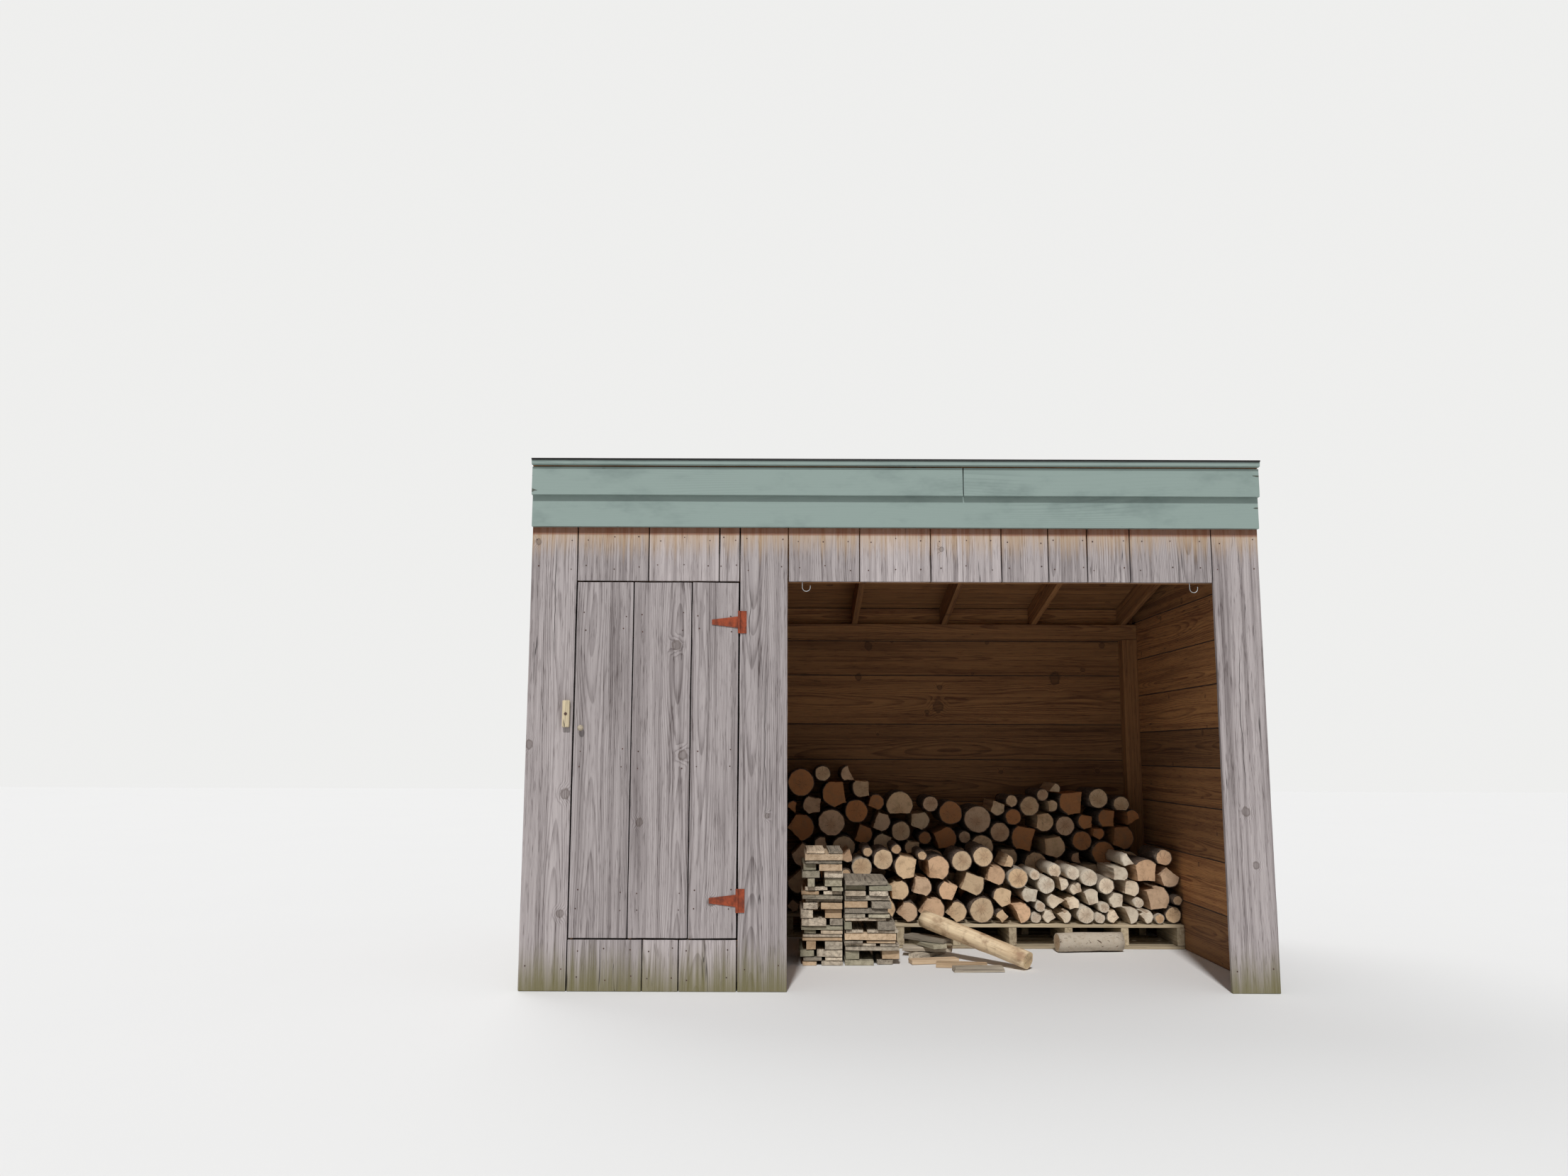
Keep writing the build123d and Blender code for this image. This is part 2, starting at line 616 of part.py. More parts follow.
def resting_places(radius, placed, x_from, x_to, floor):
    """Places where a log of this radius lies on the floor, a wall or two other logs."""
    left, right, low = x_from + radius, x_to - radius, floor + radius
    yield left, low
    yield right, low
    for index, (px, pz, pr) in enumerate(placed):
        reach = pr + radius + LOG_GAP
        if abs(low - pz) < reach:
            aside = math.sqrt(reach**2 - (low - pz) ** 2)
            yield px + aside, low
            yield px - aside, low
        for wall_x in (left, right):
            if abs(wall_x - px) < reach:
                yield wall_x, pz + math.sqrt(reach**2 - (wall_x - px) ** 2)
        for qx, qz, qr in placed[:index]:
            other = qr + radius + LOG_GAP
            span = math.hypot(qx - px, qz - pz)
            if span < 1e-6 or span > reach + other:
                continue
            along = (reach**2 - other**2 + span**2) / (2 * span)
            rise = reach**2 - along**2
            if rise <= 0:
                continue
            ux, uz = (qx - px) / span, (qz - pz) / span
            if ux < 0:
                ux, uz, along_x, along_z = -ux, -uz, px + along * ux, pz + along * uz
            else:
                along_x, along_z = px + along * ux, pz + along * uz
            x = along_x - uz * math.sqrt(rise)
            z = along_z + ux * math.sqrt(rise)
            if min(px, qx) < x < max(px, qx):
                yield x, z


def stack_logs(x_from, x_to, floor, top_at, radii, allowed, seed):
    """Stack logs one by one, each in the lowest hollow that still lies under the top line."""
    picker = random.Random(seed)
    placed = []
    misses = 0
    while misses < len(radii):
        radius = radii[misses] if misses else picker.choice(radii)
        best = None
        for x, z in resting_places(radius, placed, x_from, x_to, floor):
            if x < x_from + radius - 1e-6 or x > x_to - radius + 1e-6:
                continue
            if z + radius > top_at(x) or not allowed(x, radius) or (best and z >= best[1]):
                continue
            if not overlaps(x, z, radius, placed):
                best = (x, z)
        if best:
            placed.append((best[0], best[1], radius))
            misses = 0
        else:
            misses += 1
    return placed


def line_height(points, x_from, x_to, x):
    """Height at x of a broken line whose points are (share of the length, height)."""
    share = (x - x_from) / (x_to - x_from)
    for (share_a, height_a), (share_b, height_b) in zip(points, points[1:]):
        if share_a <= share <= share_b:
            return height_a + (height_b - height_a) * (share - share_a) / (share_b - share_a)
    return points[-1][1]


def contact_angles(log, placed, x_from, x_to, floor):
    """Angles round a log's end at which it touches its neighbours, the walls or the floor."""
    x, z, radius = log
    angles = []
    for px, pz, pr in placed:
        reach = math.hypot(px - x, pz - z)
        if 1e-6 < reach < pr + radius + 1.25 * LOG_GAP:
            angles.append(math.atan2(pz - z, px - x))
    if x - radius < x_from + LOG_GAP:
        angles.append(math.pi)
    if x + radius > x_to - LOG_GAP:
        angles.append(0.0)
    if z - radius < floor + LOG_GAP:
        angles.append(-math.pi / 2)
    spaced = []
    for angle in sorted(angle % (2 * math.pi) for angle in angles):
        if not spaced or angle - spaced[-1] > BARK_FACET / 4:
            spaced.append(angle)
    return spaced


def turns_between(angles):
    """Each angle with the turn from it to the next one round."""
    return [(a, b - a) for a, b in zip(angles, angles[1:] + [angles[0] + 2 * math.pi])]


def fill_turn(start, turn, widest):
    """Angles over a turn, none of them further apart than widest."""
    pieces = math.ceil(turn / widest)
    return [start + turn * piece / pieces for piece in range(pieces)]


def log_outline(log, angles, is_split):
    """Corners of a log's end: at its contacts, wide apart where it was split and close along its bark."""
    x, z, radius = log
    if len(angles) < 2:
        angles = LOOSE_CORNERS
    if is_split:
        angles = [a for start, turn in turns_between(angles) for a in fill_turn(start, turn, WIDEST_TURN)]
    turns = turns_between(angles)
    bark_turn = max(turn for start, turn in turns)
    corners = []
    for start, turn in turns:
        has_bark = turn == bark_turn or not is_split
        corners += fill_turn(start, turn, BARK_FACET) if has_bark else [start]
    return [(x + radius * math.cos(corner), z + radius * math.sin(corner)) for corner in corners]


def carrying(contacts):
    """The contacts that carry a log or its load: all but those nearly level with its middle."""
    return [angle for angle in contacts if abs(math.sin(angle)) > math.sin(LEVEL_CONTACT)]


def log_row(placed, x_from, x_to, floor, y_front, seed, split_share):
    """Solid logs on their stacked places, with ends that stand out by different amounts."""
    picker = random.Random(seed)
    groups = {step: [] for step in END_STEPS}
    for log in placed:
        contacts = contact_angles(log, placed, x_from, x_to, floor)
        at_wall = log[0] - log[2] < x_from + LOG_GAP or log[0] + log[2] > x_to - LOG_GAP
        kept = contacts if at_wall else carrying(contacts)
        few = 2 <= len(kept) <= MOST_SPLIT_CONTACTS
        is_split = few and log[2] > SPLIT_FROM_RADIUS and picker.random() < split_share
        groups[picker.choice(END_STEPS)].append((log, kept if is_split else contacts, is_split))
    for step, logs in groups.items():
        with BuildSketch(Plane.XZ.offset(-(y_front + LOG_LENGTH - step))) as ends:
            for log, contacts, is_split in logs:
                with BuildLine():
                    Polyline(*log_outline(log, contacts, is_split), close=True)
                make_face()
        extrude(ends.sketch, amount=LOG_LENGTH - 2 * step)


def pallet(x_from, x_to, y_front):
    """Slatted pallet: runners along Y, slats along X above and below them."""
    middle_x = (x_from + x_to) / 2
    spaces = math.ceil((x_to - x_from - PALLET_RUNNER) / PALLET_RUNNER_PITCH)
    for index in range(spaces + 1):
        runner_x = x_from + PALLET_RUNNER / 2 + (x_to - x_from - PALLET_RUNNER) * index / spaces
        with Locations((runner_x, y_front + LOG_LENGTH / 2, PALLET_HEIGHT / 2)):
            Box(PALLET_RUNNER, LOG_LENGTH, PALLET_HEIGHT - 2 * PALLET_SLAT - 2 * LOG_GAP)
    slat_spaces = int(LOG_LENGTH // PALLET_SLAT_PITCH)
    for index in range(slat_spaces + 1):
        slat_y = y_front + PALLET_SLAT_WIDTH / 2 + (LOG_LENGTH - PALLET_SLAT_WIDTH) * index / slat_spaces
        for slat_z in (PALLET_SLAT / 2, PALLET_HEIGHT - PALLET_SLAT / 2):
            with Locations((middle_x, slat_y, slat_z)):
                Box(x_to - x_from, PALLET_SLAT_WIDTH, PALLET_SLAT)


# Firewood: two rows, each on its own pallet
BACK_ROW_Y = BACK_IN - WALL_GAP - LOG_LENGTH
FRONT_ROW_Y = BACK_ROW_Y - ROW_GAP - LOG_LENGTH
FRONT_ROW_LEFT = BAY_LEFT + FRONT_ROW_INSET
FRONT_ROW_RIGHT = RIGHT_IN - WALL_GAP
BACK_ROW_LEFT = BAY_LEFT + WALL_GAP
BACK_ROW_RIGHT = RIGHT_IN - POST - WALL_GAP


def front_row_allows(x, radius):
    """Only thin logs lie in one stretch of the front row."""
    share = (x - FRONT_ROW_LEFT) / (FRONT_ROW_RIGHT - FRONT_ROW_LEFT)
    return radius <= THIN_RADIUS or not THIN_FROM < share < THIN_TO


def back_row_allows(x, radius):
    """Logs of any size lie anywhere in the back row."""
    return True


rows = (
    ("front", FRONT_ROW_LEFT, FRONT_ROW_RIGHT, FRONT_ROW_Y, FRONT_ROW_TOP, FRONT_RADII, front_row_allows, 0.9),
    ("back", BACK_ROW_LEFT, BACK_ROW_RIGHT, BACK_ROW_Y, BACK_ROW_TOP, BACK_RADII, back_row_allows, 0.6),
)
for name, row_left, row_right, row_y, top_line, row_radii, allowed, split_share in rows:
    with BuildPart() as log_pallet:
        pallet(row_left, row_right, row_y)
    finish(log_pallet.part, name + "_pallet")

    stack = stack_logs(
        row_left,
        row_right,
        PALLET_HEIGHT,
        lambda x: line_height(top_line, row_left, row_right, x),
        row_radii,
        allowed,
        5,
    )
    print(name, "row:", len(stack), "logs")
    with BuildPart() as firewood:
        log_row(stack, row_left, row_right, PALLET_HEIGHT, row_y, 11, split_share)
    finish(firewood.part, name + "_log_row")

# Pile of off-cut boards in two columns, and boards that slid off it
PEELED_X = BAY_LEFT + PEELED_INSET
PEELED_Y = FRONT_ROW_Y - PEELED_TO_ROW
PEELED_DIRECTION = Vector(math.cos(math.radians(PEELED_YAW)), math.sin(math.radians(PEELED_YAW)), 0)
OFFCUT_LEFT = BAY_LEFT + OFFCUT_INSET
OFFCUT_FRONT = FRONT_ROW_Y - OFFCUT_TO_ROW - OFFCUT_DEPTH


def offcut_layer(x_from, x_to, is_bearer, jumble_at_right, picker):
    """Outline of one layer: bearers at both sides, or one or two boards whose outer edges don't line up."""
    y_back = OFFCUT_FRONT + OFFCUT_DEPTH
    if jumble_at_right:
        x_to -= picker.uniform(0, OFFCUT_JUMBLE)
    else:
        x_from += picker.uniform(0, OFFCUT_JUMBLE)
    if is_bearer:
        width = OFFCUT_BEARER * picker.uniform(0.7, 1.5)
        edges = [(x_from, x_from + width), (x_to - 1.8 * OFFCUT_BEARER, x_to)]
    elif picker.random() < OFFCUT_PAIR_SHARE:
        middle = x_from + (x_to - x_from) * picker.uniform(0.34, 0.66)
        edges = [(x_from, middle), (middle + OFFCUT_GAP, x_to)]
    else:
        edges = [(x_from, x_to)]
    for left, right in edges:
        y_front = OFFCUT_FRONT + picker.uniform(0, OFFCUT_JUMBLE)
        with Locations(((left + right) / 2, (y_front + y_back) / 2)):
            Rectangle(right - left, y_back - y_front)


with BuildPart() as offcut_stack:
    picker = random.Random(8)
    layers = []
    for column_left, column_right, column_height, bearer_layers in OFFCUT_COLUMNS:
        z = 0.0
        count = 0
        while z < column_height:
            is_bearer = count in bearer_layers
            toe = OFFCUT_TOE if column_left > 0 and z < OFFCUT_TOE_HEIGHT else 0.0
            thickness = OFFCUT_BEARER_HEIGHT if is_bearer else picker.choice(OFFCUT_THICKNESSES)
            with BuildSketch(Plane.XY.offset(z)) as layer_outline:
                offcut_layer(
                    OFFCUT_LEFT + column_left,
                    OFFCUT_LEFT + column_right + toe,
                    is_bearer,
                    column_left > 0,
                    picker,
                )
            layers.append(extrude(layer_outline.sketch, amount=thickness - FLAT_GAP, mode=Mode.PRIVATE))
            z += thickness
            count += 1
    # Boards that slid off the pile and now carry the peeled log's far end
    spill = Vector(PEELED_X, PEELED_Y, 0) + PEELED_DIRECTION * (SPILL_REACH + SPILL_LENGTH / 2)
    for layer, yaw in enumerate(SPILL_YAWS):
        with BuildSketch(Plane.XY.offset(layer * SPILL_THICKNESS)) as spill_outline:
            with Locations(Location((spill.X, spill.Y), PEELED_YAW + yaw)):
                Rectangle(SPILL_LENGTH, SPILL_WIDTH)
        layers.append(extrude(spill_outline.sketch, amount=SPILL_THICKNESS - FLAT_GAP, mode=Mode.PRIVATE))
    with BuildSketch(Plane.XY) as flat_outline:
        for (flat_x, flat_y), yaw in FLAT_BOARDS:
            with Locations(Location((PEELED_X + flat_x, PEELED_Y + flat_y), yaw)):
                Rectangle(FLAT_BOARD_LENGTH, FLAT_BOARD_WIDTH)
    layers.append(extrude(flat_outline.sketch, amount=SPILL_THICKNESS, mode=Mode.PRIVATE))
    add(layers)
finish(offcut_stack.part, "offcut_stack")

# Loose logs on the ground
SPILL_TOP = len(SPILL_YAWS) * SPILL_THICKNESS
with BuildPart() as loose_logs:
    lean = math.atan2(SPILL_TOP, SPILL_REACH)
    peeled_axis = PEELED_DIRECTION * math.cos(lean) + Vector(0, 0, math.sin(lean))
    peeled_up = Vector(0, 0, math.cos(lean)) - PEELED_DIRECTION * math.sin(lean)
    peeled_end = Vector(PEELED_X, PEELED_Y, 0) + peeled_up * PEELED_RADIUS
    with BuildSketch(Plane(origin=peeled_end, z_dir=peeled_axis)):
        Circle(PEELED_RADIUS)
    extrude(amount=PEELED_LENGTH)
    bark_turn = math.radians(BARK_LOG_YAW)
    bark_end_x = RIGHT_IN - BARK_LOG_INSET - BARK_LOG_LENGTH * math.cos(bark_turn)
    bark_end = Vector(bark_end_x, FRONT_ROW_Y - BARK_LOG_TO_ROW, BARK_LOG_RADIUS)
    with BuildSketch(Plane(origin=bark_end, z_dir=(math.cos(bark_turn), math.sin(bark_turn), 0))):
        Circle(BARK_LOG_RADIUS)
    extrude(amount=BARK_LOG_LENGTH)
finish(loose_logs.part, "loose_logs")
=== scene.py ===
import math
import random
from functools import partial

import bmesh
import bpy
from bpy.props import FloatProperty, FloatVectorProperty, IntProperty, PointerProperty
from bpy.types import Operator, Panel, PropertyGroup
from mathutils import Matrix, Vector, noise


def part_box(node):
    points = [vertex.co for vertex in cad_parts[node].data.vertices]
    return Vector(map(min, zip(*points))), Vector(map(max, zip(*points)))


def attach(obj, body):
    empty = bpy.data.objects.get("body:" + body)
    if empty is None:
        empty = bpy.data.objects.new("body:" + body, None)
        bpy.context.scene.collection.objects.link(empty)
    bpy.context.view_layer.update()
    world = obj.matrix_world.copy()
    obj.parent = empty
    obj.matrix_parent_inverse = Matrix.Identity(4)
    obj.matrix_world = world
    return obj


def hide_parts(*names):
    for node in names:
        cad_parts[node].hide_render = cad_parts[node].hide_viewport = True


bl_info = {
    "name": "Log Store Dressing",
    "version": (1, 0, 0),
    "blender": (4, 5, 0),
    "location": "View3D > Sidebar > Log Store",
    "description": "Weathered boards, painted trim, shingles, fittings and firewood on the packed log store",
    "category": "Object",
}

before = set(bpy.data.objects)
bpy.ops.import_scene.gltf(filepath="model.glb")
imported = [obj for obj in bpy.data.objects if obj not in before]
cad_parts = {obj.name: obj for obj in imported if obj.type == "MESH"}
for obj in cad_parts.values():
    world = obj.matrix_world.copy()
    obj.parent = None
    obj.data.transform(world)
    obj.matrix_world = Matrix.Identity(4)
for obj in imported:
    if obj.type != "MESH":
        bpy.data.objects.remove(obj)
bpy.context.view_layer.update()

FRONT_BOARDS = (
    "left_jamb_board",
    "boards_over_door",
    "boards_under_door",
    "closet_jamb_board",
    "bay_header_boards",
    "corner_board",
)
# The walls, each with the way its outer face looks
WALLS = {"back_wall": Vector((0, 1, 0)), "left_wall": Vector((-1, 0, 0)), "right_wall": Vector((1, 0, 0))}
TIMBER = (
    "front_left_post",
    "front_middle_post",
    "front_right_post",
    "back_left_post",
    "back_middle_post",
    "back_right_post",
    "front_plate",
    "back_plate",
    "door_head_rail",
    "bay_head_rail",
    "rafters",
    "closet_inner_wall",
    "closet_floor_joists",
    "closet_floor",
    "roof_deck",
)
TRIM = ("lower_frieze", "upper_fascia", "rear_fascia", "roof_edge_strip", "rear_edge_strip")
HINGES = ("lower_hinge_plate", "upper_hinge_plate", "lower_hinge_strap", "upper_hinge_strap")

FRONT_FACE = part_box("corner_board")[0].y
BACK_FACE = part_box("back_wall")[1].y
LEFT_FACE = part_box("left_wall")[0].x
RIGHT_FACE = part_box("right_wall")[1].x
WALL_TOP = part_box("back_wall")[1].z - 0.05
FRIEZE_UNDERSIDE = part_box("lower_frieze")[0].z

# Corners of a CAD mesh this near to each other are one
MERGE_DISTANCE = 0.00002
# From this width on, a board is cut lengthwise too, so that its face can cup
WIDE_BOARD = 0.11
# Half of the gap between two wall boards, and a little over
WALL_SWELL = 0.00155
# A smaller turn between two corners of a log's end is bark, and a larger one is a split face
BARK_TURN = math.radians(38)
# Spacing of the points round a log's end, on bark as a turn and on a split face as a length
RIM_TURN, RIM_LENGTH = math.radians(11), 0.014
# Material slots of the logs
BARK, SPLIT, END = 0, 1, 2
# Length of a shingle tab, as a multiple of the part that stays uncovered
TAB_COVER = 1.35

# Other knots to the metre of a board's face
KNOTS_ACROSS, KNOTS_ALONG = 5.2, 1.7

# Knots at their places in the photograph as (x, height, radius)
FRONT_KNOTS = (
    (LEFT_FACE + 0.033, 2.185, 0.014),
    (LEFT_FACE + 0.018, 1.172, 0.018),
    (LEFT_FACE + 0.202, 0.932, 0.021),
    (LEFT_FACE + 0.194, 0.362, 0.017),
    (1.702, 0.858, 0.019),
    (1.738, 0.601, 0.015),
)
DOOR_KNOTS = (
    (-1.094, 1.665, 0.021),
    (-1.054, 1.123, 0.020),
    (-1.26, 0.797, 0.016),
)
BACK_KNOTS = (
    (1.27, 1.638, 0.034),
    (0.478, 1.445, 0.032),
    (0.013, 1.854, 0.024),
    (-0.055, 1.643, 0.02),
)

# Long cracks in the jamb boards as (x, from height, to height)
LONG_CRACKS = (
    (LEFT_FACE + 0.125, 1.55, 2.24),
    (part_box("closet_jamb_board")[0].x + 0.055, 1.62, 1.98),
    (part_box("closet_jamb_board")[0].x + 0.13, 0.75, 1.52),
    (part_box("corner_board")[0].x + 0.11, 0.9, 1.7),
)

# Rows of nails in the front: over the sill, over the doorway's head and under the boards' top
SILL_ROW, HEAD_ROW, PLATE_ROW = 0.11, 0.07, 0.35
# Heights of the back wall's rows
BACK_ROWS = (0.12, 0.7, 1.3, 2.0)

# Screws of a hinge's strap and plate as (share of its width, share of its height)
STRAP_SCREWS = ((0.18, 0.5), (0.45, 0.5), (0.74, 0.5))
PLATE_SCREWS = ((0.62, 0.14), (0.62, 0.86))
# How far a screw's middle stands before the front's boards
SCREW_PROUD = 0.0044

# Outline of the turned knob as (share of its length, share of its radius), and the points round it
KNOB_OUTLINE = (
    (0.0, 0.52),
    (0.12, 0.46),
    (0.30, 0.55),
    (0.45, 0.86),
    (0.58, 0.99),
    (0.74, 0.97),
    (0.88, 0.82),
    (0.97, 0.5),
    (1.0, 0.02),
)
KNOB_SIDES = 28

# How far a round log's pith lies off its middle, as a share of its radius, and how far a split log's pith
# lies beyond its middle, as a multiple of the way from its bark to its middle
PITH_SPREAD, SPLIT_PITH = 0.15, 1.2
# A four-sided face of a worn fitting smaller than this is a strip of a rounded edge
EDGE_STRIP_AREA = 0.00002


def linear(red, green, blue):
    """A colour given on screen, 0 to 255 a channel, as the linear values that shaders take."""
    channels = (value / 255 for value in (red, green, blue))
    return tuple(c / 12.92 if c <= 0.04045 else ((c + 0.055) / 1.055) ** 2.4 for c in channels)


def colour_property(name, description, default):
    return FloatVectorProperty(
        name=name, description=description, subtype="COLOR", size=3, min=0.0, max=1.0, default=default
    )


def length_property(name, description, default):
    return FloatProperty(name=name, description=description, unit="LENGTH", min=0.0, default=default)


class BoardSettings(PropertyGroup):
    """Edges and colours of the sawn boards and timbers."""

    corner_wear: length_property("Corner Wear", "Width of the rounded board corners", 0.0025)
    edge_wander: length_property("Edge Wander", "How far a board's sawn edges wander inwards", 0.0022)
    face_wander: length_property("Face Wander", "How far a board's faces cup and swell inwards", 0.0012)
    station: length_property("Station", "Spacing of the cross sections along a board", 0.06)
    grey_light: colour_property("Grey Light", "Bleached wood between the year rings", linear(182, 173, 172))
    grey_dark: colour_property("Grey Dark", "Dark streaks of the weathered wood", linear(78, 67, 66))
    grey_knot: colour_property("Grey Knot", "Knots in the weathered boards", linear(84, 72, 66))
    warm_light: colour_property("Warm Light", "Unweathered wood inside the shed", linear(176, 128, 80))
    warm_dark: colour_property("Warm Dark", "Dark streaks of the unweathered wood", linear(104, 64, 36))
    warm_knot: colour_property("Warm Knot", "Knots in the unweathered boards", linear(58, 32, 18))
    # The two joint colours are painted shade: board edges in the joints, and wood that shows through the front's
    # open joints.
    joint_shade_light: colour_property("Joint Shade Light", "Wood behind the open joints of the front", linear(66, 48, 36))
    joint_shade_dark: colour_property("Joint Shade Dark", "Dark streaks behind the open joints", linear(38, 28, 22))
    fresh_band: colour_property("Fresh Band", "Sheltered wood under the frieze", linear(198, 162, 116))
    # This colour is partly a red-brown stain and partly the painted shadow of the frieze on the boards right under
    # it.
    stain_and_shadow_colour: colour_property("Dark Run", "Red-brown stains right under the frieze", linear(112, 60, 36))
    algae: colour_property("Algae", "Damp green growth near the ground", linear(104, 98, 58))
    algae_height: length_property("Algae Height", "How far the green growth reaches up", 0.26)


class TrimSettings(PropertyGroup):
    """Painted fascia, frieze and edge strips."""

    corner_wear: length_property("Corner Wear", "Width of the rounded corners", 0.002)
    paint: colour_property("Paint", "Grey-green paint", linear(131, 147, 141))
    paint_dirty: colour_property("Dirty Paint", "Paint darkened by dirt and damp", linear(96, 112, 108))
    chipped: colour_property("Chipped", "Bare wood where the paint has worn off", linear(78, 84, 76))


class RoofSettings(PropertyGroup):
    """Shingles on the roof."""

    tab_width: length_property("Tab Width", "Width of one shingle tab", 0.305)
    exposure: length_property("Exposure", "Height of a course that stays uncovered", 0.143)
    thickness: length_property("Thickness", "Thickness of a shingle", 0.0019)
    lift: length_property("Lift", "How far the lower edge stands up", 0.0026)
    gap: length_property("Gap", "Slot between two tabs", 0.006)
    underlay_drop: length_property("Underlay Drop", "How far the underlay lies under the top of the roof", 0.0048)
    felt_light: colour_property("Light Grit", "Light stone grit", linear(92, 90, 88))
    felt_dark: colour_property("Dark Grit", "Dark stone grit", linear(34, 34, 36))


class FittingSettings(PropertyGroup):
    """Hinges, button, knob, hooks and nails."""

    rust_light: colour_property("Light Rust", "Bright orange rust", linear(156, 70, 38))
    rust_dark: colour_property("Dark Rust", "Old brown rust", linear(86, 40, 26))
    nail_iron: colour_property("Nail Iron", "Dark iron of the nail heads", linear(66, 52, 46))
    button_wood: colour_property("Button Wood", "Pale wood of the turn button", linear(206, 190, 158))
    knob_wood: colour_property("Knob Wood", "Weathered wood of the knob", linear(188, 174, 152))
    nail_radius: length_property("Nail Radius", "Radius of a nail head", 0.0035)
    nail_height: length_property("Nail Height", "How far a nail head stands out", 0.0005)
    nail_sides: IntProperty(name="Nail Sides", description="Sides of a nail head", default=10, min=5)


class FirewoodSettings(PropertyGroup):
    """Logs, splits, off-cuts and pallets."""

    bark_thickness: length_property("Bark Thickness", "Thickness of the bark", 0.004)
    station: length_property("Station", "Spacing of the cross sections along a log", 0.05)
    bark_brown: colour_property("Brown Bark", "Bark of most logs", linear(98, 80, 66))
    bark_pale: colour_property("Pale Bark", "Thin bark of the small white logs", linear(196, 184, 166))
    tan_end: colour_property("Tan End", "Sawn end of a dry log", linear(222, 192, 154))
    rose_end: colour_property("Rose End", "Face of a freshly split log", linear(216, 182, 148))
    white_end: colour_property("White End", "Sawn end of a small white log", linear(238, 224, 200))
    orange_end: colour_property("Orange End", "Sawn end of a resinous log", linear(188, 128, 78))
    grey_light: colour_property("Light Off-cut", "Sunlit off-cut", linear(204, 191, 170))
    grey_dark: colour_property("Dark Off-cut", "Weathered off-cut", linear(96, 84, 72))
    tan_offcut: colour_property("Tan Off-cut", "Off-cut of fresher wood", linear(204, 166, 122))
    mossy_offcut: colour_property("Mossy Off-cut", "Greenish off-cut", linear(150, 148, 122))


class StageSettings(PropertyGroup):
    """Camera, lamps and floor."""

    camera_distance: length_property("Camera Distance", "From the shed's front to the camera", 5.86)
    camera_side: FloatProperty(name="Camera Side", description="X of the camera", default=-0.559)
    camera_height: length_property("Camera Height", "Height of the camera", 1.137)
    camera_pitch: FloatProperty(
        name="Camera Pitch", description="Upward tilt", subtype="ANGLE", default=math.radians(7.93)
    )
    camera_roll: FloatProperty(
        name="Camera Roll", description="Roll about the view", subtype="ANGLE", default=math.radians(0.2)
    )
    focal_length: FloatProperty(name="Focal Length", description="In millimetres", default=27.1)
    floor: colour_property("Floor", "Plain pale floor", (0.79, 0.785, 0.775))
    world_strength: FloatProperty(name="World Strength", description="Light from all round", default=0.36)
    key_strength: FloatProperty(name="Key Strength", description="Strength of the soft main lamp", default=2.45)
    key_elevation: FloatProperty(
        name="Key Elevation", description="Height of the main lamp", subtype="ANGLE", default=math.radians(46)
    )
    key_side: FloatProperty(
        name="Key Side", description="Main lamp's turn to the left", subtype="ANGLE", default=math.radians(7)
    )
    key_softness: FloatProperty(
        name="Key Softness", description="Width of the main lamp", subtype="ANGLE", default=math.radians(4)
    )


# Materials


class Nodes:
    """A node tree whose nodes are added and joined by value."""

    def __init__(self, tree):
        self.tree = tree

    def add(self, kind, inputs=None, **settings):
        node = self.tree.nodes.new(kind)
        for name, value in settings.items():
            setattr(node, name, value)
        for name, value in (inputs or {}).items():
            self.feed(node.inputs[name], value)
        return node

    def feed(self, socket, value):
        if isinstance(value, bpy.types.NodeSocket):
            self.tree.links.new(value, socket)
        elif value is not None:
            socket.default_value = rgba(value) if socket.type == "RGBA" else value

    def math(self, operation, first, second=None, third=None):
        return self.add("ShaderNodeMath", {0: first, 1: second, 2: third}, operation=operation).outputs[0]

    def combine(self, x=0.0, y=0.0, z=0.0):
        return self.add("ShaderNodeCombineXYZ", {0: x, 1: y, 2: z}).outputs[0]

    def parts(self, vector):
        return self.add("ShaderNodeSeparateXYZ", {0: vector}).outputs[:]


